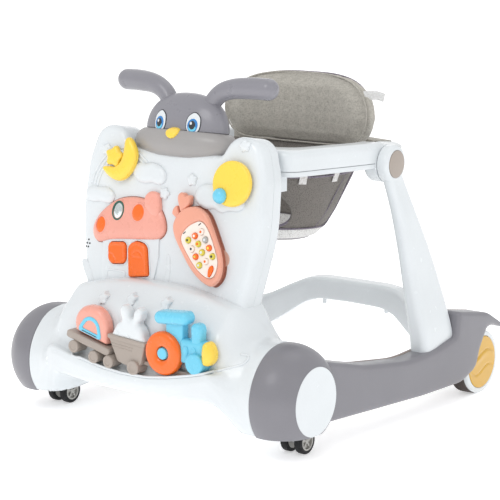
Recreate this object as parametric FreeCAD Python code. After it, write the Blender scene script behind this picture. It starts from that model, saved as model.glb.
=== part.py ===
"""Baby walker with a toy panel: a wheeled base, two rear uprights and a folding seat ring.

X runs across the walker, Y from the toy panel at the front to the back, Z up; millimetres.
While it is being built, Y is zero on the axis of the two round front pods. On export the
model moves so that the origin is under the middle of its bounding box.
"""
import FreeCAD, Part
import math
import os

V = FreeCAD.Vector

# Base
POD_Z = 95.0
POD_RADIUS = 85.0
POD_INNER_X = 232.0
POD_OUTER_X = 300.0
POD_BOTTOM_Z = 40.0
COVER_RADIUS = 56.0
COVER_THICKNESS = 3.5
WALL = 3.0
BUMPER_WALL = 4.0
END_DRUM_X = 186.0

# Front casters
CASTER_X = 250.0
CASTER_Y = 6.0
CASTER_TRAIL = 16.0
CASTER_RADIUS = 21.0
CASTER_TYRE_WIDTH = 13.0
CASTER_TYRE_X = 13.5
CASTER_HUB_RADIUS = 15.0
CASTER_AXLE_RADIUS = 3.0
STEM_RADIUS = 4.0
STEM_TOP_Z = 86.0
WELL_RADIUS = 45.5
WELL_TOP_Z = 52.0

# Rear wheels
REAR_Y = 527.0
REAR_RADIUS = 58.0
REAR_INNER_X = 265.0
REAR_OUTER_X = 301.0
REAR_AXLE_RADIUS = 5.0
RAIL_INNER_X = 255.0
HOUSING_INNER_X = 243.0
RAIL_OUTER_X = 304.5

# Toy panel
PANEL_LEAN = 8.25
PANEL_FOOT_Y = -49.7
PANEL_DEPTH = 60.0
PANEL_SPLIT = 30.0
PANEL_WALL = 3.0
SADDLE_V = 462.0
TOY_AXLE_RADIUS = 4.0

# Train ledge on the bumper
RECESS_Y = -80.0
TRAIN_FRONT_Y = -98.0

# Seat
HINGE_Y = 301.0
HINGE_Z = 434.0
HINGE_DRUM_RADIUS = 32.0
HINGE_PIN_RADIUS = 6.0
HEAD_INNER_X = 230.0
HEAD_OUTER_X = 250.0
RING_BOTTOM_Z = 427.0
RING_SEAM_Z = 436.0
RING_TOP_Z = 470.0
RING_WIDTH = 38.0
RING_WALL = 3.0
SLING_WALL = 3.0

# Fits
RUNNING = 0.05
GAP = 0.4

PLANES = {
    "front": (V(1, 0, 0), V(0, 0, 1), V(0, 1, 0)),
    "side": (V(0, 1, 0), V(0, 0, 1), V(1, 0, 0)),
    "plan": (V(1, 0, 0), V(0, 1, 0), V(0, 0, 1)),
}
ORIGIN = V(0, 0, 0)
ACROSS = V(1, 0, 0)
BACK = V(0, 1, 0)
UP = V(0, 0, 1)

parts = {}


# ---------------------------------------------------------------- helpers

def rounded_wire(corners, plane, level=0.0):
    """Closed outline through (a, b, radius) corners, each rounded by a tangent arc.

    An arc takes at most half of the shorter run beside it, so neighbouring arcs never overlap.
    """
    along_a, along_b, normal = PLANES[plane]
    spots = [along_a * a + along_b * b + normal * level for a, b, _ in corners]
    runs = []
    for i, (_, _, radius) in enumerate(corners):
        here = spots[i]
        before = spots[i - 1] - here
        after = spots[(i + 1) % len(spots)] - here
        shorter = min(before.Length, after.Length)
        before.normalize()
        after.normalize()
        half = before.getAngle(after) / 2
        reach = min(radius / math.tan(half), 0.499 * shorter)
        used_radius = reach * math.tan(half)
        middle = (before + after).normalize()
        crown = here + middle * (used_radius / math.sin(half) - used_radius)
        runs.append((here + before * reach, crown, here + after * reach))
    edges = []
    for i, (start, crown, end) in enumerate(runs):
        if start.distanceToPoint(end) > 1e-6:
            edges.append(Part.Arc(start, crown, end).toShape())
        edges.append(Part.LineSegment(end, runs[(i + 1) % len(runs)][0]).toShape())
    return Part.Wire(edges)


def prism(corners, plane, low, high, inset=0.0):
    """Outline extruded between two levels, shrunk by inset all round."""
    face = Part.Face(rounded_wire(corners, plane, low))
    if inset:
        face = face.makeOffset2D(-inset)
    return face.extrude(PLANES[plane][2] * (high - low))


def both_sides(half):
    """Closed outline from the corners of its +X half, listed from bottom to top."""
    return half + [(-x, other, radius) for x, other, radius in reversed(half)]


def rectangle(low_a, low_b, high_a, high_b, radius):
    return [(low_a, low_b, radius), (high_a, low_b, radius), (high_a, high_b, radius), (low_a, high_b, radius)]


def turned(corners, angle, about):
    """Corners rotated by an angle in degrees about one point of their plane."""
    c, s = math.cos(math.radians(angle)), math.sin(math.radians(angle))
    a0, b0 = about
    return [(a0 + (a - a0) * c - (b - b0) * s, b0 + (a - a0) * s + (b - b0) * c, r) for a, b, r in corners]


def star(a, b, size, tilt=0.0):
    """Corners of a plump five-pointed star."""
    corners = []
    for i in range(10):
        reach = size if i % 2 == 0 else size * 0.58
        angle = math.radians(90 + tilt + 36 * i)
        corners.append((a + reach * math.cos(angle), b + reach * math.sin(angle), size * (0.16 if i % 2 == 0 else 0.04)))
    return corners


def rod(radius, length, start, direction):
    return Part.makeCylinder(radius, length, start, direction)


def across_rod(radius, low_x, high_x, y, z):
    """Cylinder along X."""
    return rod(radius, high_x - low_x, V(low_x, y, z), ACROSS)


def ellipsoid(rx, ry, rz, centre):
    unit = Part.makeSphere(1.0)
    stretch = FreeCAD.Matrix()
    stretch.scale(rx, ry, rz)
    body = unit.transformGeometry(stretch)
    body.translate(centre)
    return body


def softened(shape, radius, chosen):
    """Fillet of the edges whose middle point passes a test."""
    edges = [e for e in shape.Edges if chosen(e.CenterOfMass)]
    return shape.makeFillet(radius, edges)


def mirrored(shape):
    return shape.mirror(ORIGIN, ACROSS)


def group(shapes):
    return Part.makeCompound(shapes)


def pair(name, right):
    """Store one piece for each side of the walker."""
    parts["right_" + name] = right
    parts["left_" + name] = mirrored(right)


# ---------------------------------------------------------------- toy panel frame

PANEL_PLACE = FreeCAD.Placement(V(0, PANEL_FOOT_Y, 0), FreeCAD.Rotation(ACROSS, -PANEL_LEAN))
OUTWARD = PANEL_PLACE.Rotation.multVec(V(0, -1, 0))


def on_panel(shape):
    """Shape drawn as (x, depth behind the face, height along the face), leaned into place."""
    leaned = shape.copy()
    leaned.Placement = PANEL_PLACE.multiply(leaned.Placement)
    return leaned


def face_v(z):
    """Height along the leaning face of a point of the face at height z."""
    return z / math.cos(math.radians(PANEL_LEAN))


PANEL_HALF = [(150, 150, 30), (188, 352, 260), (184, 440, 110), (165, 501, 32), (114, 501, 26), (94, SADDLE_V, 10)]
PANEL_OUTLINE = both_sides(PANEL_HALF)
panel_front_solid = softened(prism(PANEL_OUTLINE, "front", 0, PANEL_SPLIT), 9, lambda p: p.y < 0.1)
panel_rear_solid = softened(
    prism(PANEL_OUTLINE, "front", PANEL_SPLIT, PANEL_DEPTH), 9, lambda p: p.y > PANEL_DEPTH - 0.1)
panel_envelope = on_panel(prism(PANEL_OUTLINE, "front", 0, PANEL_DEPTH))

# Toy places on the face, as (x, z)
MOON = (-112, 446)
SUN = (132, 423)
SUN_KNOB = (114, 402)
WINDOW = (-101, 288.5)
DOOR = (-54, 281)
SPEAKER = (-164, 297)
PHONE = (81, 317)
PHONE_TILT = 28.0
CLOUDS = [(-150, 381, 54, 24), (-44, 422, 64, 31), (110, 396, 72, 28)]
PANEL_STARS = [(43, 422, 12), (-8, 394, 10), (-143, 455, 12), (144, 474, 10)]
SCREW_SPOTS = [(x, v) for x in (-140, 140) for v in (185, 320, 465)]

FACADE = turned(rectangle(-128, face_v(259), -22, face_v(312), 6), 5, (-75, face_v(279)))
BUTTON_WINDOW = rectangle(WINDOW[0] - 19, face_v(WINDOW[1]) - 17, WINDOW[0] + 19, face_v(WINDOW[1]) + 17, 8)
BUTTON_DOOR = [
    (DOOR[0] - 21, face_v(DOOR[1]) - 25, 5), (DOOR[0] + 21, face_v(DOOR[1]) - 25, 5),
    (DOOR[0] + 21, face_v(DOOR[1]) + 25, 18), (DOOR[0] - 21, face_v(DOOR[1]) + 25, 18)]
BUTTON_PROUD = 9.0
BUTTON_DEEP = 9.0
BUTTON_CLEARANCE = 0.5


def panel_front():
    shell = panel_front_solid.cut(prism(PANEL_OUTLINE, "front", PANEL_WALL, PANEL_SPLIT + 1, PANEL_WALL))
    for x, z, width, height in CLOUDS:
        v = face_v(z)
        cloud = rectangle(x - width / 2, v - height / 2, x + width / 2, v + height / 2, height * 0.48)
        shell = shell.fuse(prism(cloud, "front", -5, PANEL_WALL / 2))
    for x, z, size in PANEL_STARS:
        shell = shell.fuse(prism(star(x, face_v(z), size), "front", -4, PANEL_WALL / 2))
    shell = shell.fuse(prism(FACADE, "front", -4, PANEL_WALL / 2))
    for x, v in SCREW_SPOTS:
        post = rod(5, PANEL_DEPTH - 2 * PANEL_WALL - 0.5, V(x, PANEL_WALL - 0.5, v), BACK)
        shell = shell.fuse(post).cut(rod(1.9, 40, V(x, 20, v), BACK))
    for corners in (BUTTON_WINDOW, BUTTON_DOOR):
        shell = shell.cut(prism(corners, "front", -10, 10, -BUTTON_CLEARANCE))
    for (x, z) in (MOON, SUN):
        shell = shell.cut(rod(TOY_AXLE_RADIUS, 40, V(x, -20, face_v(z)), BACK))
    for i in range(7):
        reach = 0 if i == 0 else 6.5
        angle = math.radians(60 * i)
        spot = V(SPEAKER[0] + reach * math.cos(angle), -5, face_v(SPEAKER[1]) + reach * math.sin(angle))
        shell = shell.cut(rod(1.4, 12, spot, BACK))
    return shell


BATTERY = rectangle(-42, 250, 42, 322, 6)
SHELF_X = (122, 162)


def panel_rear():
    shell = panel_rear_solid.cut(
        prism(PANEL_OUTLINE, "front", PANEL_SPLIT - 1, PANEL_DEPTH - PANEL_WALL, PANEL_WALL))
    shell = shell.cut(prism(BATTERY, "front", PANEL_DEPTH - 10, PANEL_DEPTH + 5))
    for x, v in SCREW_SPOTS:
        shell = shell.cut(rod(2.2, 20, V(x, PANEL_DEPTH - 10, v), BACK))
    shell = on_panel(shell)
    for side in (1, -1):
        low, high = sorted((side * SHELF_X[0], side * SHELF_X[1]))
        shelf = prism([(66, 402, 0), (78, 402, 0), (112, 414, 4), (112, RING_BOTTOM_Z - 0.6, 2),
                       (66, RING_BOTTOM_Z - 0.6, 0)], "side", low, high)
        shell = shell.fuse(shelf.cut(panel_envelope))
    return shell


parts["panel_front_shell"] = on_panel(panel_front())
parts["panel_rear_shell"] = panel_rear()
parts["battery_cover"] = on_panel(prism(BATTERY, "front", PANEL_DEPTH - PANEL_WALL, PANEL_DEPTH, 0.3))
parts["battery_cells"] = on_panel(group(
    [rod(7.2, 50, V(x, PANEL_DEPTH - 15, 260), UP) for x in (-20, 0, 20)]))
parts["circuit_board"] = on_panel(prism(rectangle(-120, 200, 0, 310, 3), "front", 20, 21.6))
parts["speaker"] = on_panel(
    rod(15, 4, V(SPEAKER[0] + 6.5, PANEL_WALL + 0.5, face_v(SPEAKER[1])), BACK).fuse(
        rod(9, 8, V(SPEAKER[0] + 6.5, PANEL_WALL + 4.5, face_v(SPEAKER[1])), BACK)))
parts["panel_screws"] = on_panel(group(
    [rod(1.9, 20, V(x, PANEL_DEPTH - 20, v), BACK).fuse(rod(4, 2, V(x, PANEL_DEPTH, v), BACK))
     for x, v in SCREW_SPOTS]))

# ---------------------------------------------------------------- house

ROOF = [(-160, 299, 15), (2, 321, 15), (-8, 356, 30), (-52, 381, 30), (-98, 380, 45), (-150, 345, 30)]
ROOF_THICKNESS = 12.0
ROOF_OVALS = [(-137, 329), (-54.5, 357)]
ROOF_MIRROR = (-100, 356)
OVAL = (9, 12)


def on_face(corners, near, far):
    """Outline given as (x, z) of the face, as a slab between two distances in front of it."""
    return prism([(x, face_v(z), radius) for x, z, radius in corners], "front", -far, -near)


def oval_boss(spot, thickness):
    """Oval standing on the roof, with a soft front edge."""
    x, z = spot
    centre = V(x, -ROOF_THICKNESS - thickness, face_v(z))
    rim = Part.Ellipse(centre + UP * OVAL[1], centre + ACROSS * OVAL[0], centre)
    slab = Part.Face(Part.Wire([rim.toShape()])).extrude(BACK * thickness)
    return softened(slab, thickness * 0.6, lambda p: p.y < 0.1 - ROOF_THICKNESS - thickness)


roof = softened(on_face(ROOF, 0, ROOF_THICKNESS), 5, lambda p: p.y < 0.1 - ROOF_THICKNESS)
roof = roof.cut(prism(FACADE, "front", -4, 0))
chimney = on_face(rectangle(-43, 352, -15, 392, 11), 2, ROOF_THICKNESS + 5)
parts["house_roof"] = on_panel(roof.fuse(chimney))
parts["roof_windows"] = on_panel(group([oval_boss(spot, 4) for spot in ROOF_OVALS]))
parts["roof_mirror"] = on_panel(oval_boss(ROOF_MIRROR, 3))
for name, corners in (("window_button", BUTTON_WINDOW), ("door_button", BUTTON_DOOR)):
    button = prism(corners, "front", -BUTTON_PROUD - 4, BUTTON_DEEP)
    parts[name] = on_panel(softened(button, 3, lambda p: p.y < -BUTTON_PROUD))

# ---------------------------------------------------------------- moon and sun

MOON_BACK = 5.5
MOON_THICKNESS = 13.0
SUN_RADIUS = 36.5
SUN_BACK = 5.8
SUN_THICKNESS = 10.0
AXLE_INSIDE = 8.0


def moon():
    x, z = MOON
    v = face_v(z)
    crescent = rod(36, MOON_THICKNESS, V(x + 10, -MOON_BACK - MOON_THICKNESS, v - 4), BACK)
    crescent = crescent.cut(rod(33, 40, V(x - 5, -40, v + 11), BACK))
    body = prism(star(x, v, 19, 12), "front", -MOON_BACK - MOON_THICKNESS, -MOON_BACK).fuse(crescent)
    body = body.fuse(prism(turned(rectangle(x - 6, v - 6, x + 26, v + 6, 3), -45, (x, v)),
                           "front", -MOON_BACK - 6, -MOON_BACK))
    return body.cut(rod(TOY_AXLE_RADIUS + RUNNING, 9, V(x, -MOON_BACK - 9, v), BACK))


def sun():
    x, z = SUN
    v = face_v(z)
    dial = rod(SUN_RADIUS, SUN_THICKNESS, V(x, -SUN_BACK - SUN_THICKNESS, v), BACK)
    dial = softened(dial, 4, lambda p: p.y < 0.1 - SUN_BACK - SUN_THICKNESS)
    return dial.cut(rod(TOY_AXLE_RADIUS + RUNNING, 7, V(x, -SUN_BACK - 7, v), BACK))


parts["moon_spinner"] = on_panel(moon())
parts["sun_dial"] = on_panel(sun())
knob = Part.makeSphere(12, V(SUN_KNOB[0], -SUN_BACK - SUN_THICKNESS, face_v(SUN_KNOB[1])))
parts["sun_knob"] = on_panel(knob.cut(rod(SUN_RADIUS + 20, 30, V(SUN[0], -SUN_BACK - SUN_THICKNESS, face_v(SUN[1])), BACK)))
parts["toy_axles"] = on_panel(group(
    [rod(TOY_AXLE_RADIUS, AXLE_INSIDE + reach, V(x, -reach, face_v(z)), BACK)
     for (x, z), reach in ((MOON, MOON_BACK + 8), (SUN, SUN_BACK + 6))]))

# ---------------------------------------------------------------- phone

PHONE_BACK = 0.6
PHONE_THICKNESS = 17.0
PHONE_CENTRE = (PHONE[0], face_v(PHONE[1]))
PHONE_BODY = [(-14, -66, 12), (14, -66, 12), (24, -50, 30), (36, 20, 40), (26, 58, 24), (-26, 58, 24), (-36, 20, 40),
              (-24, -50, 30)]
PHONE_LEAVES = [(-16, 74, 8.5), (0, 82, 9.5), (16, 74, 8.5)]
PHONE_FACE = [(-9, -58, 8), (9, -58, 8), (25, 18, 20), (14, 40, 14), (-14, 40, 14), (-25, 18, 20)]
PHONE_FACE_THICKNESS = 1.5
KEY_PITCH = 15.8
KEY_RADIUS = 5.2
KEY_ROWS = [24.0 - KEY_PITCH * i for i in range(4)]
KEY_COLUMNS = [-14.2, 0.0, 14.2]
KEY_TRAVEL = 1.2
KEY_PROUD = 3.5


def phone_spot(a, b):
    """Point of the phone's own plane as (x, v) of the leaning face."""
    return turned([(PHONE_CENTRE[0] + a, PHONE_CENTRE[1] + b, 0)], PHONE_TILT, PHONE_CENTRE)[0][:2]


def on_phone(corners, near, far, inset=0.0):
    """Outline in the phone's own plane as a slab between two distances in front of the panel."""
    shifted = [(PHONE_CENTRE[0] + a, PHONE_CENTRE[1] + b, radius) for a, b, radius in corners]
    return prism(turned(shifted, PHONE_TILT, PHONE_CENTRE), "front", -far, -near, inset)


phone_top = PHONE_BACK + PHONE_THICKNESS
phone = softened(on_phone(PHONE_BODY, PHONE_BACK, phone_top), 5, lambda p: p.y < 0.1 - phone_top)
for a, b, radius in PHONE_LEAVES:
    x, v = phone_spot(a, b)
    phone = phone.fuse(rod(radius, PHONE_THICKNESS * 0.6, V(x, -PHONE_BACK - PHONE_THICKNESS * 0.6, v), BACK))
x, v = phone_spot(0, 64)
phone = phone.fuse(rod(11, PHONE_THICKNESS * 0.6, V(x, -PHONE_BACK - PHONE_THICKNESS * 0.6, v), BACK))
phone = phone.cut(on_phone(PHONE_FACE, phone_top - PHONE_FACE_THICKNESS - 5, phone_top + 1))
face_plate = on_phone(PHONE_FACE, phone_top - PHONE_FACE_THICKNESS, phone_top, 0.2)
keys = []
for b in KEY_ROWS:
    for a in KEY_COLUMNS:
        if abs(a) + 0.28 * (24.0 - b) < 26:
            x, v = phone_spot(a, b)
            keys.append((x, v))
x, v = phone_spot(0, KEY_ROWS[3] - KEY_PITCH)
keys.append((x, v))
KEY_BASE = phone_top - PHONE_FACE_THICKNESS - 3.4
mat = on_phone(PHONE_FACE, KEY_BASE, KEY_BASE + 1.6, 1.0)
for x, v in keys:
    stem = rod(KEY_RADIUS, phone_top + KEY_PROUD - KEY_BASE, V(x, -phone_top - KEY_PROUD, v), BACK)
    mat = mat.fuse(stem)
    face_plate = face_plate.cut(rod(KEY_RADIUS + 0.35, 60, V(x, -60, v), BACK))
parts["phone_body"] = on_panel(phone)
parts["phone_face"] = on_panel(face_plate)
parts["phone_keypad"] = on_panel(mat)

# ---------------------------------------------------------------- rabbit head and ear handles

HEAD = V(0, 27, 500)
HEAD_SIZE = (82, 39, 62)
MUZZLE = V(0, 25, 487)
MUZZLE_SIZE = (96, 47, 32)
HEAD_SEAM_V = 493.0


def half_dome(centre, size, low_v, high_v):
    """Slice of a hollow ellipsoid between two heights along the panel's face."""
    outer = ellipsoid(*size, centre)
    inner = ellipsoid(size[0] - WALL, size[1] - WALL, size[2] - WALL, centre)
    slab = Part.makeBox(300, 300, high_v - low_v, V(-150, -150, low_v))
    return outer.cut(inner).common(slab)


EAR_RADIUS = 17.5
EAR_ROOT = V(44, 62, 541)
EAR_CROWN = V(66, 64, 560)
EAR_BEND = V(98, 69, 566.5)
EAR_TIP = V(146, 76, 567.5)


def ear():
    path = Part.Wire([Part.Arc(EAR_ROOT, EAR_CROWN, EAR_BEND).toShape(),
                      Part.LineSegment(EAR_BEND, EAR_TIP).toShape()])
    tangent = path.Edges[0].tangentAt(path.Edges[0].FirstParameter)
    ring = Part.Wire([Part.Circle(EAR_ROOT, tangent, EAR_RADIUS).toShape()])
    tube = path.makePipeShell([ring], True, False)
    return tube.fuse(Part.makeSphere(EAR_RADIUS, EAR_TIP))


head_outer = on_panel(ellipsoid(*HEAD_SIZE, HEAD))
muzzle_outer = on_panel(ellipsoid(*MUZZLE_SIZE, MUZZLE))
head_shell = on_panel(half_dome(HEAD, HEAD_SIZE, HEAD_SEAM_V, HEAD.z + HEAD_SIZE[2] + 1))
muzzle_shell = on_panel(half_dome(MUZZLE, MUZZLE_SIZE, SADDLE_V, HEAD_SEAM_V))
parts["rabbit_head_shell"] = head_shell
parts["rabbit_muzzle"] = muzzle_shell
pair("ear_handle", ear().cut(head_outer))
eyes = [on_panel(ellipsoid(10.5, 6, 14, V(side * 35, -5, face_v(510)))).cut(head_outer) for side in (1, -1)]
seam_keep = on_panel(Part.makeBox(300, 300, 100, V(-150, -150, HEAD_SEAM_V)))
parts["rabbit_eyes"] = group([eye.common(seam_keep) for eye in eyes])
nose = on_panel(ellipsoid(12, 9, 8, V(0, -20, face_v(491)))).cut(muzzle_outer).cut(head_outer)
parts["rabbit_nose"] = nose

# ---------------------------------------------------------------- pods, bumper and casters


def revolved_pod(inset):
    """Barrel round the pod's axis, shrunk by inset on its outside and outer end."""
    r0, r1, r2 = POD_RADIUS - inset, POD_RADIUS - 5 - inset, COVER_RADIUS + 0.6 - inset
    inner_x = POD_INNER_X - (1 if inset else 0)
    outer_x = POD_OUTER_X - (COVER_THICKNESS + inset if inset else 0)
    rim = Part.Arc(V(inner_x, 0, r0), V(272 - inset, 0, r1), V(outer_x, 0, r2)).toShape()
    edges = [
        Part.LineSegment(V(inner_x, 0, 0), V(inner_x, 0, r0)).toShape(),
        rim,
        Part.LineSegment(V(outer_x, 0, r2), V(outer_x, 0, 0)).toShape(),
        Part.LineSegment(V(outer_x, 0, 0), V(inner_x, 0, 0)).toShape()]
    barrel = Part.Face(Part.Wire(edges)).revolve(ORIGIN, ACROSS, 360)
    barrel.translate(V(0, 0, POD_Z))
    return barrel


def above(shape, z):
    return shape.common(Part.makeBox(900, 900, 900, V(-450, -450, z)))


pod_solid = above(revolved_pod(0), POD_BOTTOM_Z)
housing = rod(WELL_RADIUS + WALL, WELL_TOP_Z + WALL, V(CASTER_X, CASTER_Y, 0), UP).fuse(
    rod(9, STEM_TOP_Z + 2 - WELL_TOP_Z, V(CASTER_X, CASTER_Y, WELL_TOP_Z), UP))
well = rod(WELL_RADIUS, WELL_TOP_Z, V(CASTER_X, CASTER_Y, 0), UP).fuse(
    rod(STEM_RADIUS + RUNNING, STEM_TOP_Z + 1, V(CASTER_X, CASTER_Y, 0), UP))


def hollowed(solid, cavity):
    """Shell that keeps the caster's housing and opens its well."""
    return solid.cut(cavity.cut(housing)).cut(well)


pod_shell = hollowed(pod_solid, above(revolved_pod(WALL), POD_BOTTOM_Z + WALL))
cover_bed = across_rod(COVER_RADIUS, POD_OUTER_X - COVER_THICKNESS, POD_OUTER_X + 5, 0, POD_Z)
pod_shell = pod_shell.cut(cover_bed)
pair("pod_shell", pod_shell)
cover = above(across_rod(COVER_RADIUS - 0.3, POD_OUTER_X - COVER_THICKNESS, POD_OUTER_X, 0, POD_Z), POD_BOTTOM_Z)
cover = cover.cut(well)
parts["pod_covers"] = group([cover, mirrored(cover)])

BUMPER_FRONT = both_sides([
    (60, 72, 60), (150, 74, 60), (190, 52, 40), (226, 52, 10), (226, 172, 10), (203, 182, 12), (193, 224, 20),
    (140, 236, 200), (60, 251, 60)])
BUMPER_SIDE = [
    (30, 72, 0), (-62, 72, 20), (-106, 86, 20), (-106, 110, 8), (RECESS_Y, 117, 6), (RECESS_Y + 3, 212, 34),
    (-26, 251, 8), (30, 251, 0)]
BUMPER_INNER_SIDE = [
    (40, 78, 0), (-60, 78, 16), (-101, 90, 15), (-101, 106, 5), (RECESS_Y + 5, 113, 5), (RECESS_Y + 8, 210, 30),
    (-32, 242, 8), (40, 242, 0)]
BUMPER_STARS = [(-80, 221), (-9, 232), (63, 232)]
BUMPER_STAR_SIZE = 9.0


def bumper():
    middle = prism(BUMPER_FRONT, "front", -120, 30).common(prism(BUMPER_SIDE, "side", -228, 228))
    drum = above(across_rod(POD_RADIUS, END_DRUM_X, POD_INNER_X, 0, POD_Z), POD_BOTTOM_Z)
    solid = middle.fuse(drum).fuse(mirrored(drum))
    for x, z in BUMPER_STARS:
        solid = solid.fuse(prism(star(x, z, BUMPER_STAR_SIZE), "front", RECESS_Y + 4, RECESS_Y + 30))
    solid = solid.cut(panel_envelope)
    inner_front = prism(BUMPER_FRONT, "front", -120, 40, BUMPER_WALL)
    cavity = inner_front.common(prism(BUMPER_INNER_SIDE, "side", -210, 210))
    cavity = cavity.cut(on_panel(prism(PANEL_OUTLINE, "front", -BUMPER_WALL, PANEL_DEPTH, -BUMPER_WALL)))
    hollow = above(across_rod(POD_RADIUS - BUMPER_WALL, END_DRUM_X + BUMPER_WALL, POD_INNER_X + 1, 0, POD_Z),
                   POD_BOTTOM_Z + BUMPER_WALL)
    shell = solid.cut(cavity)
    for side_housing, side_well, side_hollow in (
            (housing, well, hollow), (mirrored(housing), mirrored(well), mirrored(hollow))):
        shell = shell.cut(side_hollow.cut(side_housing)).cut(side_well)
    return shell


parts["bumper_shell"] = bumper()


def caster_fork():
    wheel = V(CASTER_X, CASTER_Y + CASTER_TRAIL, CASTER_RADIUS)
    stem = rod(STEM_RADIUS, STEM_TOP_Z - 40, V(CASTER_X, CASTER_Y, 40), UP)
    arm = prism([(CASTER_Y - 9, 46, 3), (CASTER_Y - 7, 30, 6), (wheel.y + 1, wheel.z - 8, 7),
                 (wheel.y + 9, wheel.z + 3, 7), (CASTER_Y + 12, 46, 3)], "side", CASTER_X - 5, CASTER_X + 5)
    cap = rod(13, 3, V(CASTER_X, CASTER_Y, 46), UP)
    fork = stem.fuse(arm).fuse(cap)
    return fork.cut(across_rod(CASTER_AXLE_RADIUS + RUNNING, CASTER_X - 10, CASTER_X + 10, wheel.y, wheel.z))


def caster_wheels():
    y, z = CASTER_Y + CASTER_TRAIL, CASTER_RADIUS
    hubs = across_rod(CASTER_AXLE_RADIUS, CASTER_X - CASTER_TYRE_X, CASTER_X + CASTER_TYRE_X, y, z)
    tyres = []
    for side in (-1, 1):
        low = CASTER_X + side * CASTER_TYRE_X - CASTER_TYRE_WIDTH / 2
        disc = across_rod(CASTER_HUB_RADIUS, low, low + CASTER_TYRE_WIDTH, y, z)
        dish_low = low + CASTER_TYRE_WIDTH - 4 if side > 0 else low - 1
        disc = disc.cut(across_rod(CASTER_HUB_RADIUS - 2.5, dish_low, dish_low + 5, y, z))
        spokes_low = dish_low if side > 0 else low + 1
        for i in range(5):
            spoke = Part.makeBox(2.5, 3, CASTER_HUB_RADIUS - 2, V(spokes_low, y - 1.5, z))
            spoke.rotate(V(0, y, z), ACROSS, 72 * i)
            disc = disc.fuse(spoke)
        hubs = hubs.fuse(disc)
        tyre = across_rod(CASTER_RADIUS, low, low + CASTER_TYRE_WIDTH, y, z)
        tyre = tyre.makeFillet(2.5, [e for e in tyre.Edges if e.Closed])
        tyres.append(tyre.cut(across_rod(CASTER_HUB_RADIUS, low - 1, low + CASTER_TYRE_WIDTH + 1, y, z)))
    return hubs, group(tyres)


pair("caster_fork", caster_fork())
caster_hubs, caster_tyres = caster_wheels()
pair("caster_hubs", caster_hubs)
pair("caster_tyres", caster_tyres)

# ---------------------------------------------------------------- rails, rear wheels, uprights, crossbar

RAIL_SIDE = [
    (40, 46, 0), (332, 35, 300), (452, 35, 60), (503, 52, 60), (513, 84, 60), (538, 119, 14), (560, 121, 40),
    (597, 110, 2.5), (594, 119, 3), (540, 147, 90), (436, 165, 6), (430, 122, 10), (371, 110, 200), (292, 104, 300),
    (163, 120, 300), (40, 150, 0)]
RAIL_PLAN = [
    (RAIL_INNER_X, 40, 0), (284, 40, 0), (299, 330, 400), (RAIL_OUTER_X, 470, 300), (RAIL_OUTER_X, 600, 0),
    (HOUSING_INNER_X, 600, 0), (HOUSING_INNER_X, 436, 12), (RAIL_INNER_X, 412, 12)]
AXLE_WALL = [(430, 38, 8), (520, 40, 20), (562, 52, 24), (566, 100, 16), (545, 122, 8), (430, 122, 2)]
WHEEL_WELL_RADIUS = 61.5
SKIN_INNER_X = 301.6


def rail_solid():
    body = prism(RAIL_SIDE, "side", HOUSING_INNER_X - 1, RAIL_OUTER_X + 1).common(prism(RAIL_PLAN, "plan", 0, 200))
    return body.fuse(prism(AXLE_WALL, "side", HOUSING_INNER_X, REAR_INNER_X - 2))


def rail():
    cavity = prism(RAIL_SIDE, "side", HOUSING_INNER_X - 1, RAIL_OUTER_X + 1, 3.5).common(
        prism(RAIL_PLAN, "plan", 0, 200, 3.5)).common(Part.makeBox(100, 350, 200, V(230, 70, 0)))
    floor = cavity.copy()
    floor.translate(V(0, 0, -6))
    body = rail_solid().cut(cavity).cut(floor)
    body = body.cut(across_rod(WHEEL_WELL_RADIUS, REAR_INNER_X - 2, SKIN_INNER_X, REAR_Y, REAR_RADIUS))
    body = body.cut(across_rod(REAR_AXLE_RADIUS, HOUSING_INNER_X + 3, RAIL_OUTER_X, REAR_Y, REAR_RADIUS))
    return body.cut(pod_solid)


pair("base_rail", rail())

axle = across_rod(REAR_AXLE_RADIUS, HOUSING_INNER_X + 3, REAR_OUTER_X - 6, REAR_Y, REAR_RADIUS)
parts["rear_axles"] = group([axle, mirrored(axle)])

CAP_RADIUS = 47.0
RIM_RADIUS = 51.0
FLANGE_RADIUS = 56.5
CAP_DEPTH = 3.0


def rear_wheel():
    tyre = across_rod(REAR_RADIUS, REAR_INNER_X, REAR_OUTER_X - 9, REAR_Y, REAR_RADIUS)
    tyre = tyre.makeFillet(3, [e for e in tyre.Edges if e.Closed])
    tyre = tyre.cut(across_rod(RIM_RADIUS, REAR_INNER_X - 1, REAR_OUTER_X, REAR_Y, REAR_RADIUS))
    rim = across_rod(RIM_RADIUS, REAR_INNER_X + 2, REAR_OUTER_X - 9, REAR_Y, REAR_RADIUS)
    rim = rim.cut(across_rod(RIM_RADIUS - 4, REAR_INNER_X, REAR_OUTER_X - 13, REAR_Y, REAR_RADIUS))
    rim = rim.fuse(across_rod(12, REAR_INNER_X + 1, REAR_OUTER_X - 10, REAR_Y, REAR_RADIUS))
    flange = across_rod(FLANGE_RADIUS, REAR_OUTER_X - 9, REAR_OUTER_X - 1, REAR_Y, REAR_RADIUS)
    flange = softened(flange, 3, lambda p: p.x > REAR_OUTER_X - 1.1)
    rim = rim.fuse(flange)
    rim = rim.cut(across_rod(CAP_RADIUS + 0.3, REAR_OUTER_X - CAP_DEPTH - 1, REAR_OUTER_X, REAR_Y, REAR_RADIUS))
    rim = rim.cut(across_rod(REAR_AXLE_RADIUS + RUNNING, REAR_INNER_X, REAR_OUTER_X - 5.5, REAR_Y, REAR_RADIUS))
    cap = across_rod(CAP_RADIUS, REAR_OUTER_X - CAP_DEPTH - 1, REAR_OUTER_X, REAR_Y, REAR_RADIUS)
    cap = cap.cut(across_rod(REAR_AXLE_RADIUS + 1, REAR_OUTER_X - 5, REAR_OUTER_X - 3, REAR_Y, REAR_RADIUS))
    return tyre, rim, softened(cap, 2, lambda p: p.x > REAR_OUTER_X - 0.1)


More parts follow.
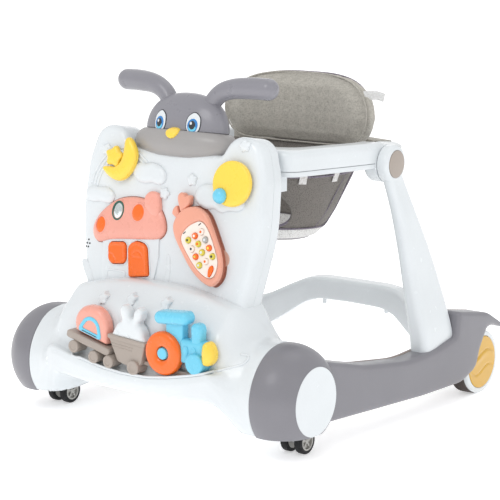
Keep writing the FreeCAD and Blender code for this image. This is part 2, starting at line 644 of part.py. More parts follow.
for name, shape in zip(("rear_tyre", "rear_rim", "rear_hub_cap"), rear_wheel()):
    pair(name, shape)

# Upright sections: height, inner and outer X, front and rear Y, corner radius
UPRIGHT = [
    (88, 259, 292, 340, 441, 9), (130, 258, 293, 337, 438, 9), (200, 252, 281, 326, 421, 9),
    (280, 243, 268, 316, 393, 9), (350, 236, 258, 308, 359, 8), (405, 231, 250, 299, 331, 6),
    (426, 230, 250, 290, 318, 5)]


def upright_loft(inset, lowest):
    wires = []
    for i, (z, x0, x1, y0, y1, radius) in enumerate(UPRIGHT):
        level = lowest if i == 0 else z
        wires.append(rounded_wire(rectangle(x0 + inset, y0 + inset, x1 - inset, y1 - inset, radius - inset),
                                  "plan", level))
    return Part.makeLoft(wires, True, False)


def upright():
    body = upright_loft(0, UPRIGHT[0][0]).cut(upright_loft(WALL, 70))
    body = body.fuse(across_rod(HINGE_DRUM_RADIUS, HEAD_INNER_X, HEAD_OUTER_X, HINGE_Y, HINGE_Z))
    body = body.cut(across_rod(HINGE_PIN_RADIUS, HEAD_INNER_X - 5, HEAD_OUTER_X - 2, HINGE_Y, HINGE_Z))
    body = body.cut(across_rod(CAP_SEAT_RADIUS, HEAD_OUTER_X - 2, HEAD_OUTER_X + 5, HINGE_Y, HINGE_Z))
    return body.cut(rail_solid())


CAP_SEAT_RADIUS = 23.5
pair("rear_upright", upright())
hinge_cap = across_rod(CAP_SEAT_RADIUS - 0.2, HEAD_OUTER_X - 2, HEAD_OUTER_X + 1.5, HINGE_Y, HINGE_Z)
hinge_cap = softened(hinge_cap, 1, lambda p: p.x > HEAD_OUTER_X + 1.4)
parts["hinge_caps"] = group([hinge_cap, mirrored(hinge_cap)])
hinge_pin = across_rod(HINGE_PIN_RADIUS, HEAD_INNER_X - 22, HEAD_OUTER_X - 2, HINGE_Y, HINGE_Z)
parts["hinge_pins"] = group([hinge_pin, mirrored(hinge_pin)])

CROSSBAR_PLAN = both_sides([
    (90, 548, 60), (180, 522, 40), (HOUSING_INNER_X, 505, 0), (HOUSING_INNER_X, 548, 0), (190, 567, 40),
    (90, 592, 60)])
CROSSBAR_FRONT = both_sides([
    (100, 122, 40), (175, 56, 40), (HOUSING_INNER_X, 46, 0), (HOUSING_INNER_X, 106, 0), (190, 114, 40),
    (110, 163, 40)])
PEG_X = 70.0


def crossbar():
    body = prism(CROSSBAR_FRONT, "front", 400, 620).common(prism(CROSSBAR_PLAN, "plan", 0, 200))
    cavity = prism(CROSSBAR_FRONT, "front", 400, 620, WALL).common(prism(CROSSBAR_PLAN, "plan", 0, 200, WALL))
    cavity = cavity.common(Part.makeBox(2 * HOUSING_INNER_X - 20, 300, 300, V(10 - HOUSING_INNER_X, 400, 0)))
    body = body.cut(cavity)
    for side in (1, -1):
        body = body.fuse(rod(4, 16, V(side * PEG_X, 568, 109), UP))
    return body


parts["rear_crossbar"] = crossbar()

# ---------------------------------------------------------------- seat ring, sling and backrest

RING = [
    (-90, 93, 15), (90, 93, 15), (104, 82, 15), (187, 82, 32), (229, 262, 120), (229, 350, 60), (200, 400, 60),
    (90, 440, 150), (-90, 440, 150), (-200, 400, 60), (-229, 350, 60), (-229, 262, 120), (-187, 82, 32),
    (-104, 82, 15)]
RING_INNER = [
    (-150, 128, 40), (150, 128, 40), (188, 262, 100), (188, 350, 60), (165, 380, 50), (70, 410, 150),
    (-70, 410, 150), (-165, 380, 50), (-188, 350, 60), (-188, 262, 100)]


def ring(low, high, outer_inset=0.0, inner_inset=0.0):
    return prism(RING, "plan", low, high, outer_inset).cut(
        prism(RING_INNER, "plan", low - 1, high + 1, inner_inset))


def seat_top():
    body = ring(RING_SEAM_Z, RING_TOP_Z)
    body = softened(body, 7, lambda p: p.z > RING_TOP_Z - 0.1)
    body = body.cut(ring(RING_SEAM_Z - 1, RING_TOP_Z - RING_WALL, RING_WALL, -RING_WALL))
    drum = across_rod(HINGE_DRUM_RADIUS, 203, HEAD_INNER_X - 0.6, HINGE_Y, HINGE_Z)
    bore = across_rod(HINGE_PIN_RADIUS + RUNNING, 205, HEAD_INNER_X, HINGE_Y, HINGE_Z)
    return body.fuse(drum).fuse(mirrored(drum)).cut(bore).cut(mirrored(bore))


def seat_bottom():
    body = ring(RING_BOTTOM_Z, RING_SEAM_Z)
    body = softened(body, 5, lambda p: p.z < RING_BOTTOM_Z + 0.1)
    body = body.cut(ring(RING_BOTTOM_Z + RING_WALL, RING_SEAM_Z + 1, RING_WALL, -RING_WALL))
    drum = across_rod(HINGE_DRUM_RADIUS, 203, HEAD_INNER_X, HINGE_Y, HINGE_Z)
    return body.cut(drum).cut(mirrored(drum))


parts["seat_frame_top"] = seat_top()
parts["seat_frame_bottom"] = seat_bottom()

# Sling sections: height, then the share of the ring's opening in X and in Y
SLING = [(466, 0.985, 0.985), (440, 0.975, 0.97), (400, 0.92, 0.90), (350, 0.80, 0.76), (308, 0.60, 0.54),
         (285, 0.36, 0.30)]
SLING_CENTRE_Y = 262.0
LEG_HOLE_RADIUS = 52.0
LEG_HOLE_X = 78.0
LEG_HOLE_Z = 348.0


def sling_loft(inset, rise):
    wires = []
    for z, share_x, share_y in SLING:
        low_y = SLING_CENTRE_Y
        outline = [(x * share_x * (1 - inset / 188), low_y + (y - low_y) * share_y * (1 - inset / 140), r * share_y)
                   for x, y, r in RING_INNER]
        wires.append(rounded_wire(outline, "plan", z + rise))
    return Part.makeLoft(wires, True, False)


def sling():
    body = sling_loft(0, 0).cut(sling_loft(SLING_WALL, SLING_WALL))
    for side in (1, -1):
        body = body.cut(rod(LEG_HOLE_RADIUS, 140, V(side * LEG_HOLE_X, 100, LEG_HOLE_Z), BACK))
    return body


parts["seat_sling"] = sling()


def backrest():
    outline = both_sides([(130, 450, 22), (158, 490, 60), (152, 545, 40), (80, 574, 120)])
    front = prism(outline, "front", 250, 450)
    outer = Part.Arc(V(-170, 352, 0), V(0, 404, 0), V(170, 352, 0)).toShape()
    inner = Part.Arc(V(165, 328, 0), V(0, 380, 0), V(-165, 328, 0)).toShape()
    closing = [Part.LineSegment(V(170, 352, 0), V(165, 328, 0)).toShape(),
               Part.LineSegment(V(-165, 328, 0), V(-170, 352, 0)).toShape()]
    band = Part.Face(Part.Wire([outer, closing[0], inner, closing[1]])).extrude(UP * 700)
    pad = band.common(front)
    pad.rotate(V(0, 392, 450), ACROSS, -4)
    return pad.cut(parts["seat_frame_top"]).cut(parts["seat_sling"])


parts["backrest_pad"] = backrest()

# ---------------------------------------------------------------- train on the bumper ledge

DONUT = (73.5, 157.5)
DONUT_RADIUS = 35.5
DONUT_HOLE = 10.5
WAGON_TILT = -13.0
LOCO_TILT = 10.0


def train_slab(corners, front=TRAIN_FRONT_Y, back=RECESS_Y):
    return prism(corners, "front", front, back)


def train_disc(radius, x, z, front=TRAIN_FRONT_Y, back=RECESS_Y):
    return rod(radius, back - front, V(x, front, z), BACK)


WAGON_BASE = turned([(-112, 158, 2), (-46, 158, 4)], WAGON_TILT, (-79, 158))
WAGON_CROWN = [(-42, 194, 30), (-104, 211, 30)]
wagon = train_slab(WAGON_BASE + WAGON_CROWN)
arch_ring = train_disc(22, -80, 170, TRAIN_FRONT_Y - 4, TRAIN_FRONT_Y).cut(
    train_disc(15, -80, 170, TRAIN_FRONT_Y - 5, TRAIN_FRONT_Y + 1))
arch_keep = train_slab(turned(rectangle(-110, 165, -50, 210, 0), WAGON_TILT, (-80, 165)), TRAIN_FRONT_Y - 6)
parts["dome_wagon"] = wagon
parts["dome_wagon_arch"] = arch_ring.common(arch_keep)

CART_LEFT = turned(rectangle(-130, 143, -38, 157, 4), WAGON_TILT, (-84, 150))
CART_MIDDLE = [(-39, 172, 3), (-24, 131, 8), (25, 130, 8), (37, 166, 3)]
CART_WHEELS = [(-111, 144), (-68, 131), (-37, 127.5), (14, 127)]


def carts():
    left = train_slab(CART_LEFT, TRAIN_FRONT_Y - 3).cut(wagon)
    middle = train_slab(CART_MIDDLE)
    for x, z in CART_WHEELS[:2]:
        left = left.fuse(train_disc(9, x, z, TRAIN_FRONT_Y - 3))
    for x, z in CART_WHEELS[2:]:
        middle = middle.fuse(train_disc(9, x, z, TRAIN_FRONT_Y - 3))
    middle = middle.cut(left).cut(train_disc(DONUT_RADIUS + 1.5, *DONUT, TRAIN_FRONT_Y - 12))
    return group([left.cut(parts["bumper_shell"]), middle.cut(parts["bumper_shell"])])


parts["wagon_carts"] = carts()


def rabbit_figure():
    body = train_disc(33, 0, 178).common(train_slab([(-39, 173, 0), (37, 167, 0), (45, 240, 0), (-45, 240, 0)]))
    for x, tilt in ((-12, 4), (14, -8)):
        body = body.fuse(train_slab(turned(rectangle(x - 9, 190, x + 9, 232, 8.8), tilt, (x, 200))))
    return body.cut(parts["wagon_carts"]).cut(wagon).cut(parts["bumper_shell"])


parts["rabbit_figure"] = rabbit_figure()


def locomotive():
    tilt = LOCO_TILT
    cab = train_slab(turned(rectangle(76, 150, 112, 214, 4), 4, (90, 180)))
    roof_bar = train_slab(turned(rectangle(58, 206, 137, 227, 10), tilt, (97, 216)), TRAIN_FRONT_Y - 3)
    boiler = train_slab(rectangle(100, 148, 150, 187, 6))
    chimney_tube = train_slab(rectangle(126, 176, 146, 212, 9))
    front_wheel = train_disc(17, 137, 146, TRAIN_FRONT_Y - 3)
    body = cab.fuse(roof_bar).fuse(boiler).fuse(chimney_tube).fuse(front_wheel)
    body = body.cut(train_disc(DONUT_RADIUS + 0.6, *DONUT, TRAIN_FRONT_Y - 12, RECESS_Y - 7))
    return body.fuse(train_disc(DONUT_HOLE - RUNNING, *DONUT, TRAIN_FRONT_Y - 2)).fuse(
        train_disc(20, *DONUT, RECESS_Y - 6))


def donut():
    ring_solid = train_disc(DONUT_RADIUS, *DONUT, TRAIN_FRONT_Y - 6, RECESS_Y - 7.4)
    ring_solid = softened(ring_solid, 6, lambda p: p.y < TRAIN_FRONT_Y - 5.9)
    return ring_solid.cut(train_disc(DONUT_HOLE, *DONUT, TRAIN_FRONT_Y - 7))


loco = locomotive().cut(parts["bumper_shell"])
nose_keep = train_slab(rectangle(150, 140, 180, 200, 0), TRAIN_FRONT_Y - 12)
nose_disc = ellipsoid(12, 9, 20, V(161, TRAIN_FRONT_Y + 8, 168)).common(nose_keep)
parts["loco_nose"] = nose_disc.cut(loco)
parts["loco_body"] = loco
parts["donut_wheel"] = donut()

# ---------------------------------------------------------------- export

whole = group(list(parts.values()))
box = whole.optimalBoundingBox(False)
SHIFT = V(0, -(box.YMin + box.YMax) / 2, -box.ZMin)

os.makedirs("parts", exist_ok=True)
for name, shape in parts.items():
    placed = shape.copy()
    placed.translate(SHIFT)
    placed.exportStep("parts/" + name + ".step")
print(len(parts), "parts; shift", SHIFT, box)
for name, shape in parts.items():
    print(f"{name:20s} solids {len(shape.Solids)} valid {shape.isValid()} volume {shape.Volume / 1000:.1f} cm3")
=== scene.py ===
import math

import bmesh
import bpy
import numpy as np
from mathutils import Matrix, Vector
from mathutils.geometry import delaunay_2d_cdt

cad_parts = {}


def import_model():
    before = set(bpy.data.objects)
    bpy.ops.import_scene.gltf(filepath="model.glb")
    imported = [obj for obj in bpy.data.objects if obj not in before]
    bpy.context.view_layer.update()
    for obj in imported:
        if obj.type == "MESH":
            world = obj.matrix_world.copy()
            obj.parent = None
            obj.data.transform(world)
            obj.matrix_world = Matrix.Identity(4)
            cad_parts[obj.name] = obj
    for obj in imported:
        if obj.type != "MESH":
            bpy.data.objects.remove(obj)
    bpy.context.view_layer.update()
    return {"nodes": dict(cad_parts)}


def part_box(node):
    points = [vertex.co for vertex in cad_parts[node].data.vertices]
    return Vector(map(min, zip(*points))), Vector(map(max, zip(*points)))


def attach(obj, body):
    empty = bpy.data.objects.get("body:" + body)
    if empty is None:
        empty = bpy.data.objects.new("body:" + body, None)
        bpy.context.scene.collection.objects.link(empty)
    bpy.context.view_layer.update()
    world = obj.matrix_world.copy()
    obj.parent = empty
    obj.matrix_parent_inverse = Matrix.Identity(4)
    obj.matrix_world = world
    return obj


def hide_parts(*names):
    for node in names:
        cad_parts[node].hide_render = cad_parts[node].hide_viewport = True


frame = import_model()

# Sizes below are in millimetres, with Y counted from the axis of the two front pods.
MM = 0.001
SIDES = ((-1, "left"), (1, "right"))
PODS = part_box("pod_covers")
POD_Y = (PODS[0].y + PODS[1].y) / 2
POD_Z = 95.0
POD_RADIUS = 85.0
POD_INNER_X = 232.0
POD_FLOOR_Z = 42.6

PANEL_LEAN = math.radians(8.25)
PANEL_FOOT_Y = -49.7

HINGE_Y = 301.0
HINGE_Z = 434.0
REAR_Y = 527.0
REAR_Z = 58.0
TRAIN_Y = -98.0


# ---------------------------------------------------------------- places

def world(points):
    """Walker millimetres to row-frame metres."""
    points = np.asarray(points, float)
    return points * MM + np.array([0.0, POD_Y, 0.0])


def panel_spot(a, b, h):
    """Point at x = a and b up the leaning panel, h in front of its face."""
    s, c = math.sin(PANEL_LEAN), math.cos(PANEL_LEAN)
    return np.stack([a, PANEL_FOOT_Y - h * c + b * s, h * s + b * c], -1)


def side_spot(outer_x, side):
    """Spot for outlines drawn as (y, z); outer_x is a number or a function of y."""
    def spot(a, b, h):
        reach = outer_x(a) if callable(outer_x) else outer_x
        return np.stack([side * (reach + h), a, b], -1)
    return spot


# ---------------------------------------------------------------- outlines

def rounded(corners, step=2.0):
    """Points of a closed outline through (a, b, radius) corners with tangent arcs."""
    spots = [Vector((a, b)) for a, b, _ in corners]
    line = []
    for i, (_, _, radius) in enumerate(corners):
        here = spots[i]
        before, after = spots[i - 1] - here, spots[(i + 1) % len(spots)] - here
        shorter = min(before.length, after.length)
        before.normalize()
        after.normalize()
        half = before.angle(after) / 2
        reach = min(radius / math.tan(half), 0.499 * shorter)
        used = reach * math.tan(half)
        centre = here + (before + after).normalized() * (used / math.sin(half)) if used > 0 else here
        start, end = here + before * reach, here + after * reach
        count = max(2, int(used * (math.pi - 2 * half) / step) + 2) if used > 0 else 1
        from_centre, to_centre = start - centre, end - centre
        for k in range(count):
            t = k / max(1, count - 1)
            if used > 0:
                turn = from_centre.angle_signed(to_centre, 0.0) * t
                line.append(centre + Matrix.Rotation(-turn, 2) @ from_centre)
            else:
                line.append(here)
    return even(np.array([tuple(p) for p in line]), step)


def even(points, step, closed=True):
    """Outline resampled to even steps."""
    ring = np.vstack([points, points[:1]]) if closed else points
    lengths = np.linalg.norm(np.diff(ring, axis=0), axis=1)
    keep = np.concatenate([[True], lengths > 1e-6])
    ring = ring[keep]
    along = np.concatenate([[0], np.cumsum(np.linalg.norm(np.diff(ring, axis=0), axis=1))])
    count = max(8, int(round(along[-1] / step)))
    at = np.linspace(0, along[-1], count, endpoint=not closed)
    return np.stack([np.interp(at, along, ring[:, k]) for k in range(ring.shape[1])], -1)


def smooth_loop(points, step=2.0, closed=True):
    """Curve through given points (Catmull-Rom), resampled to even steps."""
    p = np.asarray(points, float)
    count = len(p)
    line = []
    for i in range(count if closed else count - 1):
        if closed:
            p0, p1, p2, p3 = p[i - 1], p[i], p[(i + 1) % count], p[(i + 2) % count]
        else:
            p0, p1, p2, p3 = p[max(i - 1, 0)], p[i], p[i + 1], p[min(i + 2, count - 1)]
        for t in np.linspace(0, 1, 16, endpoint=False):
            line.append(0.5 * (2 * p1 + (p2 - p0) * t + (2 * p0 - 5 * p1 + 4 * p2 - p3) * t * t
                               + (3 * p1 - p0 - 3 * p2 + p3) * t ** 3))
    if not closed:
        line.append(p[-1])
    return even(np.array(line), step, closed)


def circle(a, b, radius, step=2.0):
    return ellipse(a, b, radius, radius, step)


def ellipse(a, b, ra, rb, step=2.0):
    count = max(24, int(2 * math.pi * max(ra, rb) / step))
    t = np.linspace(0, 2 * math.pi, count, endpoint=False)
    return np.stack([a + ra * np.cos(t), b + rb * np.sin(t)], -1)


def rectangle(a0, b0, a1, b1, radius):
    return [(a0, b0, radius), (a1, b0, radius), (a1, b1, radius), (a0, b1, radius)]


def turned(points, degrees, about):
    """2D points or corners turned about one point."""
    c, s = math.cos(math.radians(degrees)), math.sin(math.radians(degrees))
    result = []
    for p in points:
        da, db = p[0] - about[0], p[1] - about[1]
        result.append((about[0] + da * c - db * s, about[1] + da * s + db * c, *p[2:]))
    return result


def star_loop(a, b, size, tilt=0.0, step=1.2):
    corners = []
    for i in range(10):
        reach = size if i % 2 == 0 else size * 0.62
        angle = math.radians(90 + tilt + 36 * i)
        corners.append((a + reach * math.cos(angle), b + reach * math.sin(angle),
                        size * (0.3 if i % 2 == 0 else 0.15)))
    return rounded(corners, step)


def mirrored_half(half):
    """Corners of the +X half, bottom to top, completed with their mirror images."""
    return half + [(-a, b, r) for a, b, r in reversed(half)]


# ---------------------------------------------------------------- meshes

def make_piece(name, vertices, faces, material, body, sharp=40):
    """Mesh object from walker millimetres; it rides on its body."""
    mesh = bpy.data.meshes.new(name)
    mesh.from_pydata([tuple(p) for p in world(vertices)], [], [tuple(f) for f in faces])
    mesh.validate()
    return finish_mesh(name, mesh, material, body, sharp)


def finish_mesh(name, mesh, material, body, sharp=40):
    work = bmesh.new()
    work.from_mesh(mesh)
    bmesh.ops.remove_doubles(work, verts=work.verts, dist=1e-6)
    bmesh.ops.recalc_face_normals(work, faces=work.faces)
    work.to_mesh(mesh)
    work.free()
    mesh.polygons.foreach_set("use_smooth", [True] * len(mesh.polygons))
    mesh.set_sharp_from_angle(angle=math.radians(sharp))
    mesh.materials.append(material)
    piece = bpy.data.objects.new(name, mesh)
    bpy.context.scene.collection.objects.link(piece)
    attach(piece, body)
    return piece


def edge_distance(points, loop):
    """Distance of each 2D point to the closed loop."""
    a, b = loop, np.roll(loop, -1, axis=0)
    ab = b - a
    best = np.full(len(points), np.inf)
    for start in range(0, len(points), 2000):
        p = points[start:start + 2000, None, :]
        t = np.clip(((p - a) * ab).sum(-1) / (ab * ab).sum(-1), 0, 1)
        gap = np.linalg.norm(p - (a + t[..., None] * ab), axis=-1)
        best[start:start + 2000] = gap.min(1)
    return best


def fill_loop(loop, roll, grid, holes=()):
    """Triangles inside a loop, with rings of points near the edge for a rounded shoulder."""
    loops = [loop, *holes]
    rim = np.vstack(loops)
    inner = []
    for ring in loops:
        tangent = np.roll(ring, -1, axis=0) - np.roll(ring, 1, axis=0)
        tangent /= np.linalg.norm(tangent, axis=1, keepdims=True)
        normal = np.stack([-tangent[:, 1], tangent[:, 0]], -1)
        for share in (0.04, 0.15, 0.34, 0.6, 1.0):
            depth = roll * share
            for side in (1, -1):
                points = ring + normal * depth * side
                inner.append(points[np.abs(all_distance(points, loops) - depth) < 0.02 * depth + 1e-6])
    low, high = loop.min(0), loop.max(0)
    a, b = np.meshgrid(np.arange(low[0], high[0], grid), np.arange(low[1], high[1], grid))
    lattice = np.stack([a.ravel(), b.ravel()], -1)
    inner.append(lattice[all_distance(lattice, loops) > roll * 1.0 + grid * 0.5])
    points = np.vstack([rim, *inner])
    edges, start = [], 0
    for ring in loops:
        count = len(ring)
        edges += [(start + k, start + (k + 1) % count) for k in range(count)]
        start += count
    result = delaunay_2d_cdt([Vector(p) for p in points], edges, [], 0, 1e-5)
    flat = np.array([tuple(v) for v in result[0]])
    faces = [list(f) for f in result[2]]
    centres = np.array([flat[f].mean(0) for f in faces])
    keep = inside(centres, loop)
    for hole in holes:
        keep &= ~inside(centres, hole)
    faces = [f for f, k in zip(faces, keep) if k]
    used = sorted({v for f in faces for v in f})
    remap = {v: i for i, v in enumerate(used)}
    flat = flat[used]
    return flat, [[remap[v] for v in f] for f in faces], all_distance(flat, loops)


def all_distance(points, loops):
    return np.min([edge_distance(points, loop) for loop in loops], axis=0)


def inside(points, loop):
    """Even-odd test of 2D points against a closed loop."""
    x, y = points[:, 0][:, None], points[:, 1][:, None]
    a, b = loop, np.roll(loop, -1, axis=0)
    crosses = (a[:, 1] > y) != (b[:, 1] > y)
    with np.errstate(divide="ignore", invalid="ignore"):
        at = (b[:, 0] - a[:, 0]) * (y - a[:, 1]) / (b[:, 1] - a[:, 1]) + a[:, 0]
    return (crosses & (x < at)).sum(1) % 2 == 1


def shoulder(distance, roll):
    """Drop of a quarter-round shoulder below its face, at a distance from the outline."""
    t = 1 - np.clip(distance / roll, 0, 1)
    return roll * (1 - np.sqrt(np.clip(1 - t * t, 0, 1)))


def slab(name, loop, spot, thickness, material, body, roll=3.0, back_roll=0.0, grid=6.0, rise=None,
         crown=None, holes=(), sharp=40):
    """Moulded slab of an outline: its face at h = 0 with a rounded shoulder, its back at -thickness.

    rise scales the shoulder's height, and crown(a, b, distance) adds height to the face.
    """
    flat, faces, distance = fill_loop(loop, max(roll, 0.4), grid, holes)
    height = -shoulder(distance, max(roll, 0.01)) * (1.0 if rise is None else rise / roll)
    if crown is not None:
        height = height + crown(flat[:, 0], flat[:, 1], distance)
    back = -thickness + (shoulder(distance, back_roll) if back_roll > 0 else np.zeros(len(flat)))
    count = len(flat)
    front_points = spot(flat[:, 0], flat[:, 1], height)
    back_points = spot(flat[:, 0], flat[:, 1], back)
    uses = {}
    for f in faces:
        for i in range(len(f)):
            edge = (f[i], f[(i + 1) % len(f)])
            uses[edge] = uses.get(edge, 0) + 1
    walls = [(i, j, j + count, i + count) for i, j in uses if (j, i) not in uses]
    backs = [tuple(v + count for v in reversed(f)) for f in faces]
    return make_piece(name, np.vstack([front_points, back_points]), [tuple(f) for f in faces] + walls + backs,
                      material, body, sharp)


def loft(name, rings, material, body, around=False, sharp=40):
    """Skin over closed rings of equal length; around joins the last ring to the first."""
    rings = [np.asarray(r, float) for r in rings]
    count, size = len(rings), len(rings[0])
    vertices = np.vstack(rings)
    faces = []
    for i in range(count if around else count - 1):
        j = (i + 1) % count
        for k in range(size):
            m = (k + 1) % size
            faces.append((i * size + k, i * size + m, j * size + m, j * size + k))
    if not around:
        vertices = np.vstack([vertices, rings[0].mean(0), rings[-1].mean(0)])
        first, last = count * size, count * size + 1
        for k in range(size):
            m = (k + 1) % size
            faces.append((first, m, k))
            faces.append((last, (count - 1) * size + k, (count - 1) * size + m))
    return make_piece(name, vertices, faces, material, body, sharp)


def turned_part(name, profile, centre, axis, material, body, segments=96, sharp=40, squash=None):
    """Solid of revolution of (distance along the axis, radius) points about an axis."""
    axis = np.asarray(axis, float) / np.linalg.norm(axis)
    other = np.array([0.0, 0.0, 1.0]) if abs(axis[2]) < 0.9 else np.array([0.0, 1.0, 0.0])
    first = np.cross(axis, other)
    first /= np.linalg.norm(first)
    second = np.cross(axis, first)
    angles = np.linspace(0, 2 * math.pi, segments, endpoint=False)
    circle_points = np.outer(np.cos(angles), first) + np.outer(np.sin(angles), second)
    rings = [np.asarray(centre) + axis * along + circle_points * max(radius, 0.02) for along,
             radius in profile]
    if squash is not None:
        rings = [squash(ring) for ring in rings]
    return loft(name, rings, material, body, sharp=sharp)


def round_profile(low, high, radius, roll_low, roll_high, steps=6):
    """Profile of a disc with rounded rims, for turned_part."""
    profile = [(low, 0.0)]
    profile += [(low + roll_low * (1 - math.cos(math.pi / 2 * k / steps)),
                    radius - roll_low * (1 - math.sin(math.pi / 2 * k / steps))) for k in range(steps + 1)]
    profile += [(high - roll_high * (1 - math.cos(math.pi / 2 * k / steps)),
                 radius - roll_high * (1 - math.sin(math.pi / 2 * k / steps))) for k in range(steps, -1, -1)]
    profile.append((high, 0.0))
    return profile


def tube(name, path, radii, material, body, segments=48):
    """Round tube along points, with domed ends."""
    path = np.asarray(path, float)
    tangent = np.gradient(path, axis=0)
    tangent /= np.linalg.norm(tangent, axis=1, keepdims=True)
    rings = []
    side = np.cross(tangent[0], [0.0, 1.0, 0.05])
    angles = np.linspace(0, 2 * math.pi, segments, endpoint=False)
    for i, (spot, direction) in enumerate(zip(path, tangent)):
        side = side - direction * side.dot(direction)
        side /= np.linalg.norm(side)
        up = np.cross(direction, side)
        ring = np.outer(np.cos(angles), side) + np.outer(np.sin(angles), up)
        dome = []
        if i in (0, len(path) - 1):
            sign = -1 if i == 0 else 1
            for t in np.linspace(math.pi / 2 * 0.97, 0.15, 8):
                dome.append(spot + direction * sign * radii[i] * math.sin(t) + ring * radii[i] * math.cos(t))
            if i == 0:
                rings += dome
                rings.append(spot + ring * radii[i])
            else:
                rings.append(spot + ring * radii[i])
                rings += list(reversed(dome))
        else:
            rings.append(spot + ring * radii[i])
    return loft(name, rings, material, body)


def section(corners, per_arc=7, per_run=5):
    """Closed rounded outline with the same number of points whatever its corners are."""
    spots = [np.array(c[:2], float) for c in corners]
    arcs = []
    for i, corner in enumerate(corners):
        here = spots[i]
        before, after = spots[i - 1] - here, spots[(i + 1) % len(spots)] - here
        reach_limit = 0.498 * min(np.linalg.norm(before), np.linalg.norm(after))
        before, after = before / np.linalg.norm(before), after / np.linalg.norm(after)
        half = math.acos(np.clip(before.dot(after), -1, 1)) / 2
        reach = min(max(corner[2], 0.3) / math.tan(half), reach_limit)
        used = reach * math.tan(half)
        middle = (before + after) / np.linalg.norm(before + after)
        centre = here + middle * used / math.sin(half)
        span = math.pi / 2 - half
        side = np.array([-middle[1], middle[0]])
        if side.dot(before) < 0:
            side = -side
        arcs.append([centre - used * (middle * math.cos(t) - side * math.sin(t))
                     for t in np.linspace(span, -span, per_arc)])
    points = []
    for i, arc in enumerate(arcs):
        points += arc
        start, end = arc[-1], arcs[(i + 1) % len(arcs)][0]
        points += [start + (end - start) * k / (per_run + 1) for k in range(1, per_run + 1)]
    return np.array(points)


def cut(piece, cutter_object):
    """Boolean difference, applied; the cutter is removed."""
    modifier = piece.modifiers.new("cut", "BOOLEAN")
    modifier.operation = "DIFFERENCE"
    modifier.solver = "EXACT"
    modifier.object = cutter_object
    bake(piece)
    bpy.data.objects.remove(cutter_object)


def bake(piece):
    """Apply the piece's modifiers to its mesh."""
    graph = bpy.context.evaluated_depsgraph_get()
    graph.update()
    mesh = bpy.data.meshes.new_from_object(piece.evaluated_get(graph))
    old = piece.data
    piece.modifiers.clear()
    piece.data = mesh
    bpy.data.meshes.remove(old)


def cutter(rings):
    """Closed loft used only to cut with."""
    size = len(rings[0])
    vertices = world(np.vstack(rings))
    faces = [(i * size + k, i * size + (k + 1) % size, (i + 1) * size + (k + 1) % size, (i + 1) * size + k)
             for i in range(len(rings) - 1) for k in range(size)]
    faces += [tuple(reversed(range(size))), tuple(range((len(rings) - 1) * size, len(rings) * size))]
    mesh = bpy.data.meshes.new("cutter")
    mesh.from_pydata([tuple(p) for p in vertices], [], faces)
    work = bmesh.new()
    work.from_mesh(mesh)
    bmesh.ops.recalc_face_normals(work, faces=work.faces)
    work.to_mesh(mesh)
    work.free()
    tool = bpy.data.objects.new("cutter", mesh)
    bpy.context.scene.collection.objects.link(tool)
    return tool


def drum_cutter(centre, axis, low, high, radius, segments=96):
    """Cylinder to cut with, between two distances along its axis."""
    axis = np.asarray(axis, float)
    other = np.array([0.0, 0.0, 1.0]) if abs(axis[2]) < 0.9 else np.array([0.0, 1.0, 0.0])
    first = np.cross(axis, other)
    second = np.cross(axis, first)
    angles = np.linspace(0, 2 * math.pi, segments, endpoint=False)
    ring = radius * (np.outer(np.cos(angles), first) + np.outer(np.sin(angles), second))
    return cutter([np.asarray(centre) + axis * low + ring, np.asarray(centre) + axis * high + ring])


def smoothstep(x, low, high):
    t = np.clip((x - low) / (high - low), 0, 1)
    return t * t * (3 - 2 * t)


def soften(piece, times=5):
    """Even out a rounded piece."""
    smoother = piece.modifiers.new("smooth", "SMOOTH")
    smoother.iterations = times
    bake(piece)



# ---------------------------------------------------------------- camera, light and floor

CAMERA_SPOT = (1.80384, -2.45925, 0.82112)
CAMERA_RIGHT = (0.8035, 0.5953, 0.0093)
CAMERA_BACK = (0.5844, -0.7915, 0.1788)
CAMERA_LENS = 127.65


def make_camera():
    data = bpy.data.cameras.new("camera")
    data.lens = CAMERA_LENS
    data.sensor_width = 36.0
    camera = bpy.data.objects.new("camera", data)
    back = Vector(CAMERA_BACK).normalized()
    right = Vector(CAMERA_RIGHT)
    right = (right - back * right.dot(back)).normalized()
    up = back.cross(right)
    turn = Matrix((right, up, back)).transposed().to_4x4()
    camera.matrix_world = Matrix.Translation(CAMERA_SPOT) @ turn
    bpy.context.scene.collection.objects.link(camera)
    bpy.context.scene.camera = camera


def area_light(name, spot, target, size, power, colour=(1, 1, 1)):
    data = bpy.data.lights.new(name, "AREA")
    data.shape = "DISK"
    data.size = size
    data.energy = power
    data.color = colour
    lamp = bpy.data.objects.new(name, data)
    lamp.location = spot
    lamp.rotation_euler = (Vector(target) - Vector(spot)).to_track_quat("-Z", "Y").to_euler()
    bpy.context.scene.collection.objects.link(lamp)


